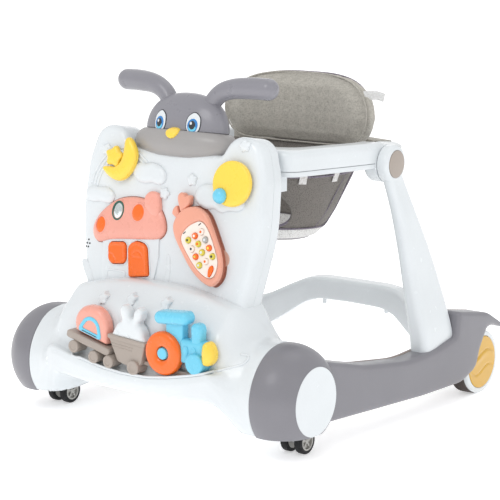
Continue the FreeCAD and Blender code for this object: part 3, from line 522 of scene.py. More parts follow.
def make_studio():
    scene = bpy.context.scene
    scene.view_settings.view_transform = "Standard"
    scene.view_settings.look = "None"
    world_look = bpy.data.worlds.new("studio")
    world_look.use_nodes = True
    background = world_look.node_tree.nodes["Background"]
    background.inputs["Strength"].default_value = 1.0
    tree = world_look.node_tree
    height = tree.nodes.new("ShaderNodeSeparateXYZ")
    tree.links.new(tree.nodes.new("ShaderNodeTexCoord").outputs["Generated"], height.inputs["Vector"])
    sky = tree.nodes.new("ShaderNodeValToRGB")
    for element, (at, level) in zip([*sky.color_ramp.elements, sky.color_ramp.elements.new(0.5)],
                                    [(0.0, 0.8), (0.5, 0.44), (0.16, 0.8)]):
        element.position = at
        element.color = (level, level, level, 1)
    tree.links.new(height.outputs["Z"], sky.inputs["Fac"])
    tree.links.new(sky.outputs["Color"], background.inputs["Color"])
    scene.world = world_look
    target = (0.0, 0.0, 0.3)
    area_light("key", (0.1, -2.6, 2.6), target, 1.4, 16)
    area_light("fill", (2.8, -0.8, 1.6), target, 1.8, 3.6)
    area_light("top", (0.2, 0.9, 3.0), target, 1.8, 5)
    area_light("back", (-1.8, 2.4, 1.6), target, 1.8, 3.6)
    mesh = bpy.data.meshes.new("floor")
    reach = 30.0
    mesh.from_pydata([(-reach, -reach, 0), (reach, -reach, 0), (reach, reach, 0), (-reach, reach, 0)], [],
                     [(0, 1, 2, 3)])
    floor = bpy.data.objects.new("floor", mesh)
    scene.collection.objects.link(floor)
    paint = bpy.data.materials.new("floor")
    paint.use_nodes = True
    tree = paint.node_tree
    shader = tree.nodes["Principled BSDF"]
    shader.inputs["Roughness"].default_value = 0.9
    shader.inputs["Specular IOR Level"].default_value = 0.15
    shader.inputs["Emission Color"].default_value = (1.0, 1.0, 1.0, 1)
    shader.inputs["Emission Strength"].default_value = 0.44
    noise = tree.nodes.new("ShaderNodeTexNoise")
    noise.inputs["Scale"].default_value = 40.0
    ramp = tree.nodes.new("ShaderNodeValToRGB")
    ramp.color_ramp.elements[0].color = (0.93, 0.93, 0.935, 1)
    ramp.color_ramp.elements[1].color = (0.95, 0.95, 0.955, 1)
    tree.links.new(noise.outputs["Fac"], ramp.inputs["Fac"])
    tree.links.new(ramp.outputs["Color"], shader.inputs["Base Color"])
    mesh.materials.append(paint)


make_camera()
make_studio()


# ---------------------------------------------------------------- materials

def linear(hexes):
    """Linear colour of a six-digit sRGB code."""
    values = [int(hexes[i:i + 2], 16) / 255 for i in (0, 2, 4)]
    return tuple(v / 12.92 if v <= 0.04045 else ((v + 0.055) / 1.055) ** 2.4 for v in values)


def scaled(colour, factor):
    return tuple(min(1.0, c * factor) for c in colour)


class Look:
    """Small helper that builds one node material."""

    def __init__(self, name, roughness=0.4):
        self.material = bpy.data.materials.new(name)
        self.material.use_nodes = True
        self.tree = self.material.node_tree
        self.shader = self.tree.nodes["Principled BSDF"]
        self.place = self.tree.nodes.new("ShaderNodeTexCoord").outputs["Object"]
        self.set("Roughness", roughness)

    def set(self, socket, value):
        self.shader.inputs[socket].default_value = value

    def noise(self, scale, detail=3.0, distortion=0.0, stretch=None):
        node = self.tree.nodes.new("ShaderNodeTexNoise")
        node.inputs["Scale"].default_value = scale
        node.inputs["Detail"].default_value = detail
        node.inputs["Distortion"].default_value = distortion
        self.tree.links.new(self.stretched(stretch), node.inputs["Vector"])
        return node.outputs["Fac"]

    def stretched(self, stretch, turn=(0, 0, 0)):
        if stretch is None and turn == (0, 0, 0):
            return self.place
        node = self.tree.nodes.new("ShaderNodeMapping")
        node.inputs["Scale"].default_value = stretch or (1, 1, 1)
        node.inputs["Rotation"].default_value = turn
        self.tree.links.new(self.place, node.inputs["Vector"])
        return node.outputs["Vector"]

    def waves(self, scale, turn=(0, 0, 0), distortion=0.0):
        node = self.tree.nodes.new("ShaderNodeTexWave")
        node.bands_direction = "X"
        node.inputs["Scale"].default_value = scale
        node.inputs["Distortion"].default_value = distortion
        self.tree.links.new(self.stretched(None, turn) if turn != (0, 0, 0) else self.place,
                            node.inputs["Vector"])
        return node.outputs["Fac"]

    def cells(self, scale, feature="F1"):
        node = self.tree.nodes.new("ShaderNodeTexVoronoi")
        node.feature = feature
        node.inputs["Scale"].default_value = scale
        self.tree.links.new(self.place, node.inputs["Vector"])
        return node.outputs["Distance"]

    def ramp(self, value, stops):
        node = self.tree.nodes.new("ShaderNodeValToRGB")
        elements = node.color_ramp.elements
        while len(elements) < len(stops):
            elements.new(0.5)
        for element, (at, colour) in zip(elements, stops):
            element.position = at
            element.color = (*colour, 1) if len(colour) == 3 else colour
        self.tree.links.new(value, node.inputs["Fac"])
        return node.outputs["Color"]

    def math(self, operation, a, b):
        node = self.tree.nodes.new("ShaderNodeMath")
        node.operation = operation
        for socket, value in zip(node.inputs, (a, b)):
            if isinstance(value, (int, float)):
                socket.default_value = value
            else:
                self.tree.links.new(value, socket)
        return node.outputs["Value"]

    def mix(self, factor, a, b, kind="MIX"):
        node = self.tree.nodes.new("ShaderNodeMix")
        node.data_type = "RGBA"
        node.blend_type = kind
        for index, value in ((0, factor), (6, a), (7, b)):
            socket = node.inputs[index]
            if isinstance(value, (int, float)):
                socket.default_value = value
            elif isinstance(value, tuple):
                socket.default_value = (*value, 1)
            else:
                self.tree.links.new(value, socket)
        return node.outputs[2]

    def colour(self, value):
        self.tree.links.new(value, self.shader.inputs["Base Color"])

    def roughness(self, value, low, high):
        node = self.tree.nodes.new("ShaderNodeMapRange")
        node.inputs["To Min"].default_value = low
        node.inputs["To Max"].default_value = high
        self.tree.links.new(value, node.inputs["Value"])
        self.tree.links.new(node.outputs["Result"], self.shader.inputs["Roughness"])

    def bump(self, value, strength, distance):
        node = self.tree.nodes.new("ShaderNodeBump")
        node.inputs["Strength"].default_value = strength
        node.inputs["Distance"].default_value = distance
        self.tree.links.new(value, node.inputs["Height"])
        self.tree.links.new(node.outputs["Normal"], self.shader.inputs["Normal"])


def plastic(name, code, roughness=0.32, coat=0.25, grain=1.0):
    """Moulded plastic: slow colour mottling, a fine spark texture and uneven gloss."""
    look = Look(name)
    base = linear(code)
    slow = look.noise(9.0, 2.0)
    fine = look.noise(260.0, 2.0)
    tint = look.ramp(slow, [(0.3, scaled(base, 0.965)), (0.7, scaled(base, 1.03))])
    speck = look.ramp(fine, [(0.35, (0.988, 0.988, 0.988)), (0.65, (1.0, 1.0, 1.0))])
    look.colour(look.mix(1.0, tint, speck, "MULTIPLY"))
    look.roughness(look.noise(60.0, 4.0), roughness - 0.05, roughness + 0.07)
    look.bump(look.noise(240.0, 2.0), 0.03 * grain, 0.0003)
    look.set("Coat Weight", coat)
    look.set("Coat Roughness", 0.12)
    look.set("Specular IOR Level", 0.45)
    return look.material


def rubber(name, code):
    look = Look(name)
    base = linear(code)
    dust = look.noise(120.0, 5.0)
    look.colour(look.ramp(dust, [(0.35, base), (0.75, scaled(base, 1.5))]))
    look.roughness(look.noise(300.0, 3.0), 0.55, 0.8)
    look.bump(look.noise(900.0, 3.0), 0.25, 0.0006)
    look.set("Specular IOR Level", 0.35)
    return look.material


def metal(name, code, roughness=0.3, brushed=False):
    look = Look(name)
    base = linear(code)
    streak = look.noise(260.0, 3.0, stretch=(1, 1, 0.04) if brushed else None)
    look.colour(look.ramp(streak, [(0.3, scaled(base, 0.9)), (0.7, base)]))
    look.roughness(streak, roughness - 0.08, roughness + 0.1)
    look.bump(streak, 0.08, 0.0003)
    look.set("Metallic", 1.0)
    return look.material


def heather(name, light, dark, weave=0.0011, speckle=0.0032, strength=0.5):
    """Woven melange fabric: pale and dark yarn flecks over a fine plain weave."""
    look = Look(name, 0.92)
    tones = [linear(light), linear(dark)]
    yarn_x = look.noise(1 / speckle, 3.0, 0.4, (1.0, 1.0, 0.35))
    yarn_z = look.noise(1 / speckle, 3.0, 0.4, (0.35, 0.7, 1.0))
    mixed = look.math("MULTIPLY", look.math("ADD", yarn_x, yarn_z), 0.5)
    body = look.ramp(mixed, [(0.38, tones[1]), (0.5, scaled(tones[0], 0.9)), (0.62, tones[0])])
    cloudy = look.ramp(look.noise(14.0, 3.0), [(0.3, (0.93, 0.93, 0.93)), (0.7, (1.0, 1.0, 1.0))])
    body = look.mix(1.0, body, cloudy, "MULTIPLY")
    warp = look.waves(0.05 / weave, (0, 0, 0.785))
    weft = look.waves(0.05 / weave, (0, 1.571, 0))
    cross = look.math("MAXIMUM", warp, weft)
    gaps = look.ramp(cross, [(0.2, (0.93, 0.93, 0.93)), (0.7, (1.0, 1.0, 1.0))])
    look.colour(look.mix(1.0, body, gaps, "MULTIPLY"))
    look.bump(look.math("ADD", cross, look.math("MULTIPLY", mixed, 0.8)), strength, 0.0009)
    look.roughness(mixed, 0.82, 1.0)
    look.set("Sheen Weight", 0.25)
    look.set("Sheen Roughness", 0.5)
    look.set("Specular IOR Level", 0.2)
    return look.material


def netting(name, light, dark, cell=0.0035):
    """Knitted air mesh: rows of small holes over a darker backing."""
    look = Look(name, 0.9)
    holes = look.cells(1 / cell)
    body = look.ramp(holes, [(0.18, linear(dark)), (0.42, linear(light))])
    cloudy = look.ramp(look.noise(20.0, 3.0), [(0.3, (0.9, 0.9, 0.9)), (0.7, (1.0, 1.0, 1.0))])
    look.colour(look.mix(1.0, body, cloudy, "MULTIPLY"))
    look.bump(holes, 0.6, 0.0012)
    look.roughness(holes, 0.8, 1.0)
    look.set("Sheen Weight", 0.2)
    look.set("Specular IOR Level", 0.2)
    return look.material


WHITE = plastic("white plastic", "DCE1E4", 0.24, 0.35)
GREY = plastic("lilac grey plastic", "7F7E84", 0.36, 0.15)
HEAD_GREY = plastic("head grey plastic", "87868D", 0.28, 0.25)
MUZZLE = plastic("warm grey plastic", "9E9B9A", 0.36, 0.2)
BROWN_PLASTIC = plastic("wheel housing brown", "857770", 0.5, 0.1)
TAUPE = plastic("taupe plastic", "A79C93", 0.45, 0.1)
PINK = plastic("pink plastic", "EBA493", 0.27, 0.4)
SALMON = plastic("salmon plastic", "E8A28A", 0.28, 0.4)
ORANGE = plastic("orange plastic", "F46A04", 0.25, 0.45)
YELLOW = plastic("yellow plastic", "F8D34A", 0.27, 0.4)
GOLDEN = plastic("golden plastic", "D6A83C", 0.3, 0.35)
BLUE = plastic("sky blue plastic", "6CC9E6", 0.26, 0.4)
SILVER = plastic("silver hub", "ADABA6", 0.3, 0.3)
PALE = plastic("pale label face", "F3E6DC", 0.5, 0.1)
LIME = plastic("yellow green print", "D8C84A", 0.4, 0.2)
DARK = plastic("dark print", "2A2D33", 0.3, 0.3)
DEEP_BLUE = plastic("blue print", "2F7FC4", 0.2, 0.5)
GREEN_RIM = plastic("dark green print", "1E5A4C", 0.35, 0.3)
BOARD = plastic("circuit green", "1C5A38", 0.4, 0.3)
BLACK_PART = plastic("black part", "1D1D1F", 0.45, 0.1)
BLACK_RUBBER = rubber("black rubber", "1B1B1D")
BROWN_RUBBER = rubber("brown rubber", "4A4341")
KEY_RUBBER = rubber("key rubber", "F3C77A")
STEEL = metal("steel", "B6B7BA", 0.3, True)
CELL = metal("cell wrap", "C2C2C2", 0.35)
MIRROR = metal("mirror film", "DDE6E6", 0.14)
PAD_CLOTH = heather("heather fabric", "C2BEB5", "A29E96", 0.0026, 0.0014, 0.25)
SLING_CLOTH = netting("taupe air mesh", "827D78", "605C57", 0.0023)
WHITE_NET = netting("white air mesh", "F2F1EF", "C9C6C3", 0.003)
PIPING = heather("purple grey piping", "8E8592", "655E69", 0.0008, 0.002, 0.3)
WEBBING = heather("white webbing", "F4F2F0", "D6D2CF", 0.0012, 0.003, 0.4)
TAG_CLOTH = heather("white tag cloth", "FAFAF9", "E9E8E6", 0.0006, 0.002, 0.15)

SLOT_LOOKS = {
    "white_shell": WHITE, "grey_shell": GREY, "muzzle_grey": MUZZLE, "taupe": TAUPE, "pink": PINK,
    "salmon": SALMON, "orange": ORANGE, "yellow": YELLOW, "golden": GOLDEN, "sky_blue": BLUE,
    "mirror": MIRROR, "eye_print": WHITE, "silver_hub": SILVER, "black_tyre": BLACK_RUBBER,
    "brown_tyre": BROWN_RUBBER, "rim_white": WHITE, "steel": STEEL, "pale_face": PALE,
    "keypad": KEY_RUBBER, "board_green": BOARD, "cell": CELL, "speaker_black": BLACK_PART,
    "pad_fabric": PAD_CLOTH, "sling_fabric": SLING_CLOTH,
}


def dress_nodes():
    """Better materials on every CAD node that stays."""
    for node in frame["nodes"]:
        piece = bpy.data.objects.get(node if isinstance(node, str) else node["name"])
        if piece is None or piece.type != "MESH":
            continue
        for holder in piece.material_slots:
            old = holder.material.name if holder.material else ""
            for slot_name, look in SLOT_LOOKS.items():
                if slot_name in old:
                    holder.material = look


# ---------------------------------------------------------------- toy panel

PANEL_OUTLINE = mirrored_half([(150, 150, 30), (188, 352, 260), (184, 440, 110), (165, 501, 38),
                               (114, 501, 34), (94, 468, 10)])


def panel_at(level):
    """Spot on the leaning panel with heights counted from a level in front of its face."""
    return lambda a, b, h: panel_spot(a, b, h + level)


def grown(loop, reach):
    """Closed loop moved outwards by reach."""
    tangent = np.roll(loop, -1, axis=0) - np.roll(loop, 1, axis=0)
    tangent /= np.linalg.norm(tangent, axis=1, keepdims=True)
    normal = np.stack([tangent[:, 1], -tangent[:, 0]], -1)
    a, b = loop, np.roll(loop, -1, axis=0)
    turn = np.sign((a[:, 0] * b[:, 1] - b[:, 0] * a[:, 1]).sum())
    return loop + normal * reach * turn


def puffy(height, reach):
    """Crown that swells like a pillow from the outline inwards."""
    def crown(a, b, distance):
        t = np.clip(distance / reach, 0, 1)
        return height * np.sqrt(np.clip(1 - (1 - t) ** 2, 0, 1))
    return crown


WINDOW_LOOP = rounded([(-117, 306, 9), (-79, 310, 9), (-75, 274, 10), (-113, 270, 12)], 1.5)
DOOR_LOOP = rounded([(-73, 306, 14), (-56, 314, 16), (-34, 310, 15), (-25, 259, 4), (-66, 253, 4)], 1.5)
BUTTON_GAP = 0.9
FACADE_PROUD = 2.6

panel_loop = rounded(PANEL_OUTLINE, 3.0)
slab("panel_front", panel_loop, panel_at(0), 29.7, WHITE, "root", roll=13, grid=10,
     holes=(grown(WINDOW_LOOP, BUTTON_GAP), grown(DOOR_LOOP, BUTTON_GAP)))
slab("panel_rear", panel_loop, panel_at(-30.3), 29.7, WHITE, "root", roll=0.8, back_roll=13,
     grid=10, holes=(rounded(rectangle(-42.5, 249.5, 42.5, 322.5, 6), 1.5),))
for side in (-1, 1):
    plan = rounded(rectangle(122, 66, 162, 112, 5), 2.0)
    shelf_rings = [np.column_stack([side * plan[:, 0], plan[:, 1], np.full(len(plan), z)])
                   for z in (402.0, 414.0, 426.2)]
    loft(f"ring_shelf_{'right' if side > 0 else 'left'}", shelf_rings, WHITE, "root")

FACADE = rounded([(-133, 330, 4), (-13, 336, 4), (-10, 290, 40), (-18, 244, 8), (-26, 236, 4), (-120, 226, 4),
                  (-129, 240, 12), (-132, 290, 40)], 2.0)
slab("house_facade", FACADE, panel_at(FACADE_PROUD), 4.0, WHITE, "root", roll=1.6, grid=6,
     holes=(grown(WINDOW_LOOP, BUTTON_GAP), grown(DOOR_LOOP, BUTTON_GAP)))
SILL = [rounded(rectangle(-118, 238, -76, 262, 4), 1.5)]
slab("facade_sill", SILL[0], panel_at(FACADE_PROUD + 1.0), 2.0, WHITE, "root", roll=0.9,
     grid=5, holes=(rounded(rectangle(-114.5, 242, -79.5, 258.5, 3), 1.5),))
for name, loop in (("window_rim", WINDOW_LOOP), ("door_rim", DOOR_LOOP)):
    slab(name, grown(loop, 3.0), panel_at(FACADE_PROUD + 1.6), 3.0, WHITE, "root", roll=1.0,
         grid=5, holes=(grown(loop, BUTTON_GAP),))
hill_left = smooth_loop([(-176, 268), (-168, 271), (-158, 262), (-147, 240), (-141, 216), (-150, 214),
                         (-161, 238), (-171, 254)], 1.5)
slab("facade_hill_left", hill_left, panel_at(1.2), 2.6, WHITE, "root", roll=2.2, grid=4)
hill_right = smooth_loop([(6, 300), (14, 292), (16, 268), (12, 240), (3, 226), (-6, 228), (2, 246),
                          (6, 270)], 1.5)
slab("facade_hill_right", hill_right, panel_at(1.0), 2.4, WHITE, "root", roll=2.0, grid=4)


def button_crown(swirl):
    """Low crown with one pressed-in mark on the button."""
    def crown(a, b, distance):
        raise_edge = 0.9 * np.exp(-((distance - 3.2) / 1.1) ** 2)
        (ca, cb), reach, upper = swirl
        gap = np.abs(np.hypot(a - ca, b - cb) - reach)
        mark = -1.1 * np.exp(-(gap / 1.2) ** 2) * ((b > cb) if upper else 1.0)
        bar = -1.1 * np.exp(-((b - cb + 0.5) / 1.1) ** 2) * (np.abs(a - ca) < reach) if upper else 0
        return raise_edge + mark + bar
    return crown


slab("window_key", WINDOW_LOOP, panel_at(7.4), 14.0, ORANGE, "window", roll=2.6, grid=1.6,
     crown=button_crown(((-112, 274), 13.5, False)))
slab("door_key", DOOR_LOOP, panel_at(8.4), 15.0, ORANGE, "door", roll=2.6, grid=1.6,
     crown=button_crown(((-51, 287), 10.0, True)))

ROOF = smooth_loop([(-154, 320), (-152, 336), (-137, 357), (-107, 378), (-78, 385), (-54, 385), (-33, 381),
                    (-17, 373), (-7, 361), (-1, 348), (0, 337), (-5, 327), (-18, 320.5), (-62, 316),
                    (-110, 311), (-136, 304), (-148, 308)], 1.6)
# The thin dark slabs just outside the roof and the phone are painted shadow in the gaps round them.
PAINTED_GAP_SHADOW = plastic("joint shade", "9A6656", 0.6, 0.0)
slab("roof_gap", grown(ROOF, 1.1), panel_at(0.5), 1.0, PAINTED_GAP_SHADOW, "root", roll=0.2, grid=8)
slab("roof", ROOF, panel_at(2.5), 4.5, PINK, "root", roll=1.4, grid=3.0, crown=puffy(6.5, 15))
CHIMNEY = smooth_loop([(-45, 372), (-47, 387), (-39, 397), (-28, 399), (-18, 394.5), (-14, 383), (-12, 368),
                       (-16, 358), (-27, 358), (-37, 364)], 1.3)
slab("chimney", CHIMNEY, panel_at(8.0), 8.0, PINK, "root", roll=4.0, grid=2.4, crown=puffy(2.5, 12))

for index, (a, b, ra, rb, tilt) in enumerate([(-133.5, 333, 10.2, 14.0, -12), (-56, 360.5, 13.4, 15.0, -20)]):
    oval = np.array(turned(ellipse(a, b, ra, rb, 1.2), tilt, (a, b)))
    ring = np.array(turned(ellipse(a, b, ra + 2.2, rb + 2.2, 1.2), tilt, (a, b)))
    slab(f"roof_oval_rim_{index}", ring, panel_at(9.6), 6.0, PINK, "root", roll=1.5, grid=4,
         holes=(oval,))
    slab(f"roof_oval_{index}", grown(oval, -0.3), panel_at(8.4), 5.0, ORANGE, "root", roll=1.2,
         grid=2.5, crown=puffy(1.6, 9))
MIRROR_AT = (-99, 360)
mirror_oval = np.array(turned(ellipse(*MIRROR_AT, 9.6, 13.4, 1.2), -14, MIRROR_AT))
mirror_ring = np.array(turned(ellipse(*MIRROR_AT, 12.4, 16.6, 1.2), -14, MIRROR_AT))
mirror_edge = np.array(turned(ellipse(*MIRROR_AT, 14.4, 18.6, 1.2), -14, MIRROR_AT))
slab("mirror_collar", mirror_edge, panel_at(9.2), 5.0, PINK, "root", roll=1.3, grid=4,
     holes=(mirror_ring,))
slab("mirror_rim", mirror_ring, panel_at(10.0), 5.0, GREEN_RIM, "root", roll=1.2, grid=4,
     holes=(mirror_oval,))


def gem(a, b, distance):
    """Faceted oval: a flat table with sloping sides."""
    return 1.8 * np.clip(distance / 5.0, 0, 1)


slab("mirror_gem", grown(mirror_oval, -0.2), panel_at(8.8), 4.0, MIRROR, "root", roll=0.3, grid=2.0,
     crown=gem, sharp=12)


def cloud(name, points, level=1.0, height=5.0):
    slab(name, smooth_loop(points, 1.8), panel_at(level), 2.5, WHITE, "root", roll=1.0,
         grid=3.5, crown=puffy(height, 9))


cloud("cloud_left", [(-178, 380), (-176, 390), (-166, 395), (-152, 395.5), (-134, 396), (-121, 391),
                     (-115, 382), (-119, 372), (-131, 369.5), (-145, 371), (-158, 369), (-172, 371)])
cloud("cloud_middle", [(-80, 424), (-78, 437), (-68, 443), (-54, 443), (-40, 445), (-23, 441), (-11, 430),
                       (-11, 417), (-21, 410), (-38, 412), (-52, 410), (-68, 413)])
cloud("cloud_right", [(53, 397), (58, 412), (72, 420), (92, 420), (112, 416), (134, 410), (150, 401),
                      (152, 389), (140, 382), (124, 381), (108, 377), (94, 382), (78, 380), (62, 386)])
for index, (a, b, tilt) in enumerate([(44, 424, 8), (-10, 397, -14), (-141, 459, -10), (143, 487, 12)]):
    slab(f"panel_star_{index}", star_loop(a, b, 13.0, tilt), panel_at(1.4), 2.4, WHITE, "root",
         roll=1.0, grid=2.4, crown=puffy(3.2, 5))
arc_path = smooth_loop([(-163, 398), (-158, 416), (-146, 436), (-126, 452), (-102, 458), (-78, 452),
                        (-55, 438)], 3, False)


def arc_band(path, width):
    """Closed loop round a strip of the given width along an open path."""
    tangent = np.gradient(path, axis=0)
    tangent /= np.linalg.norm(tangent, axis=1, keepdims=True)
    normal = np.stack([-tangent[:, 1], tangent[:, 0]], -1)
    return even(np.vstack([path + normal * width / 2, (path - normal * width / 2)[::-1]]), 1.8)


for index, (reach, width) in enumerate([(-6.5, 4.6), (0.0, 4.6), (6.5, 4.6)]):
    tangent = np.gradient(arc_path, axis=0)
    tangent /= np.linalg.norm(tangent, axis=1, keepdims=True)
    shifted = arc_path + np.stack([-tangent[:, 1], tangent[:, 0]], -1) * reach
    slab(f"rainbow_{index}", arc_band(shifted, width), panel_at(1.6), 2.6, WHITE, "root",
         roll=1.5, grid=4)

for index in range(7):
    angle = math.radians(60 * index)
    spread = 0.0 if index == 6 else 5.6
    a, b = -167.5 + spread * math.cos(angle), 298.5 + spread * 1.25 * math.sin(angle)
    reach = min(13.0, a + 177.0)
    sunk = 13.0 - math.sqrt(13.0 ** 2 - (13.0 - reach) ** 2)
    turned_part(f"speaker_hole_{index}", [(-1.4, 0), (-1.4, 1.6), (0.3, 1.6), (0.3, 0)],
                tuple(panel_spot(np.array([a]), np.array([b]), np.array([-sunk]))[0]),
                (0, -math.cos(PANEL_LEAN), math.sin(PANEL_LEAN)), BLACK_PART, "root",
                segments=20)

# ---------------------------------------------------------------- moon and sun

MOON_AT = (-112.0, 446 * 1.01046)
MOON = smooth_loop([(-89, 483), (-79, 476), (-70, 461), (-69, 446), (-76, 428), (-90, 413), (-106, 409),
                    (-124, 415), (-139, 427), (-136, 431), (-126, 432), (-114, 432), (-104, 438),
                    (-98, 449), (-96, 463), (-95, 476)], 1.3)
slab("moon_crescent", MOON, panel_at(11.0), 6.5, YELLOW, "moon", roll=2.0, grid=2.2,
     crown=puffy(6.0, 13))
slab("moon_star", star_loop(-117.5, 448.5, 22, -8), panel_at(10.0), 5.5, YELLOW, "moon", roll=2.0,
     grid=2.0, crown=puffy(4.5, 8))
SUN_AT = (130.5, 425.5)
slab("sun_disc", circle(*SUN_AT, 36.8, 2.0), panel_at(13.5), 8.0, YELLOW, "sun", roll=3.4, grid=4.5,
     crown=lambda a, b, d: 1.6 * np.clip(d / 36, 0, 1) ** 0.7)
KNOB_AT = (113.5, 404.5)
out = np.array([0, -math.cos(PANEL_LEAN), math.sin(PANEL_LEAN)])
knob_spot = panel_spot(np.array([KNOB_AT[0]]), np.array([KNOB_AT[1]]), np.array([13.0]))[0]
knob_profile = [(0.0, 9.0), (1.0, 10.6)] + [(2.5 + 10.2 * math.sin(t), 12.6 * math.cos(t))
                                            for t in np.linspace(0, math.pi / 2, 12)]
turned_part("sun_knob_ball", knob_profile, knob_spot, out, BLUE, "sun", segments=64)
for name, (a, b), body in (("moon_boss", MOON_AT, "root"), ("sun_boss", SUN_AT, "root")):
    foot = panel_spot(np.array([a]), np.array([b]), np.array([0.0]))[0]
    turned_part(name, [(-2, 0), (-2, 11), (2.6, 10.2), (3.4, 9.4), (4.4, 9.2), (4.4, 0)], foot, out, WHITE,
                body, segments=48)

# ---------------------------------------------------------------- carrot phone

PHONE = smooth_loop([(70, 382), (88, 373), (101, 355), (114, 332), (122, 317), (128, 297), (127, 277),
                     (119, 264), (108, 259), (86, 268), (64, 286), (43, 311), (29, 331), (24, 348),
                     (29, 363), (39, 374), (53, 381)], 1.6)
PHONE_FACE = smooth_loop([(79, 360), (69, 357), (56, 349), (45, 335), (46, 323), (58, 307), (74, 290),
                          (90, 278), (106, 272), (117, 278), (121, 298), (113, 319), (101, 341), (90, 355)],
                         1.4)
KEYS = [((59.5, 327.9), LIME), ((72.2, 336.2), ORANGE), ((84.7, 344.0), PALE),
        ((68.6, 314.7), PALE), ((80.4, 324.1), LIME), ((93.7, 332.2), SILVER),
        ((77.5, 303.3), ORANGE), ((89.5, 311.5), LIME), ((102.5, 320.0), ORANGE),
        ((86.4, 290.5), LIME), ((98.8, 298.0), PALE), ((110.9, 307.4), LIME)]
KEY_RADIUS = 5.0
PHONE_LEVEL = 17.0
CARROT_KEY = np.array(turned(smooth_loop([(110, 293), (113.4, 290), (113.6, 284), (111.4, 276),
                                          (109.4, 273.5), (107.2, 276), (105.6, 284), (106.6, 290)], 1.0),
                             -12, (109.5, 284)))
key_holes = [circle(a, b, KEY_RADIUS + 0.5, 1.2) for (a, b), _ in KEYS] + [grown(CARROT_KEY, 0.5)]
# This dark slab just outside the phone's outline is painted shadow in the gap round the phone.
slab("phone_gap", grown(PHONE, 1.6), panel_at(0.5), 1.0, PAINTED_GAP_SHADOW, "root", roll=0.2, grid=8)
slab("phone_shell", PHONE, panel_at(PHONE_LEVEL), 8.0, SALMON, "phone", roll=4.2, grid=3.0,
     holes=(grown(PHONE_FACE, 0.3),))
# The phone's lower wall is darker brown than its salmon shell: painted shade on the phone's sides.
slab("phone_skirt", grown(PHONE, -1.2), panel_at(8.8), 8.2, plastic("phone base", "A8624C", 0.35, 0.2),
     "phone", roll=0.6, grid=6, holes=(grown(PHONE_FACE, -2.0),))
slab("phone_face_plate", PHONE_FACE, panel_at(PHONE_LEVEL - 1.0), 4.0, PALE, "phone", roll=0.4,
     grid=3.0, holes=tuple(key_holes))
slab("phone_back", grown(PHONE_FACE, 1.0), panel_at(2.4), 1.6, SALMON, "phone", roll=0.5, grid=6)
for index, ((a, b), look) in enumerate(KEYS):
    seat_point = panel_spot(np.array([a]), np.array([b]), np.array([PHONE_LEVEL - 5.5]))[0]
    profile = [(0.0, 0.0), (0.0, KEY_RADIUS), (6.6, KEY_RADIUS), (7.6, KEY_RADIUS - 0.5),
               (8.1, KEY_RADIUS - 1.5), (8.3, 0.0)]
    turned_part(f"phone_key_{index}", profile, seat_point, out, look, "phone_keys", segments=32)
    mark = {0: DARK, 1: PALE, 2: ORANGE, 3: DARK, 4: ORANGE, 5: WHITE, 6: LIME, 7: WHITE, 8: YELLOW,
            9: WHITE, 10: ORANGE, 11: DARK}[index]
    dot = circle(a, b, 2.2, 0.8) if index % 3 else star_loop(a, b, 2.8, 10, 0.6)
    slab(f"phone_key_print_{index}", dot, panel_at(PHONE_LEVEL + 3.0), 0.5, mark, "phone_keys",
         roll=0.2, grid=1.5)
slab("phone_key_carrot", CARROT_KEY, panel_at(PHONE_LEVEL + 2.0), 7.4, ORANGE, "phone_keys",
     roll=1.4, grid=1.6)
slab("phone_key_mat", grown(PHONE_FACE, -1.0), panel_at(PHONE_LEVEL - 7.0), 1.2, KEY_RUBBER, "phone_keys",
     roll=0.3, grid=6)
for index, (a, b, tilt) in enumerate([(50, 339, 42), (79, 355.5, 42)]):
    slot_loop = np.array(turned(rounded(rectangle(a - 3.2, b - 0.9, a + 3.2, b + 0.9, 0.9), 0.7), tilt,
                                (a, b)))
    slab(f"phone_slot_{index}", slot_loop, panel_at(PHONE_LEVEL - 0.8), 0.6, DARK, "phone",
         roll=0.1, grid=1.5)
LEAF = smooth_loop([(33, 366), (29, 374), (26, 381), (22, 380), (17, 373), (17, 366), (23, 362), (28, 359)],
                   1.2)
LEAVES = smooth_loop([(50, 383), (52, 392), (51, 399), (46, 400), (41, 397), (38, 402), (31, 403),
                      (26, 397), (27, 388), (31, 378), (36, 370)], 1.2)
slab("phone_leaves", LEAVES, panel_at(12.5), 11.0, SALMON, "phone", roll=3.0, grid=2.4,
     crown=puffy(2.0, 7))
slab("phone_leaf_small", LEAF, panel_at(11.5), 10.0, SALMON, "phone", roll=3.0, grid=2.4,
     crown=puffy(1.6, 5))
# This flat brownish patch beside the phone is painted shadow that stands for a finger scoop; the panel is not
# cut.
SCOOP = smooth_loop([(118, 318), (126, 316), (132, 309), (133, 300), (128, 293), (121, 292)], 1.4)
slab("phone_scoop", SCOOP, panel_at(0.6), 2.0, plastic("scoop shade", "C8A08F", 0.4, 0.1), "root",
     roll=0.6, grid=3)


# ---------------------------------------------------------------- bumper with the train ledge

LIP_X = [-232, -165, -108, -53, -11, 42, 83, 133, 173, 205, 232]
LIP_Z = [150, 139, 125, 115.5, 112, 113, 119, 130, 141, 152, 158]
TOP_X = [0, 60, 100, 140, 193, 232]
TOP_Z = [252, 251, 245, 236, 223, 216]
BLEND_FROM, BLEND_TO = 158, 214
CIRCLE_TOUCHES = [0, -50, -100, -145, -175, -198, -222, -260, -305, -360]


def lip_height(x):
    return np.interp(x, LIP_X, LIP_Z)


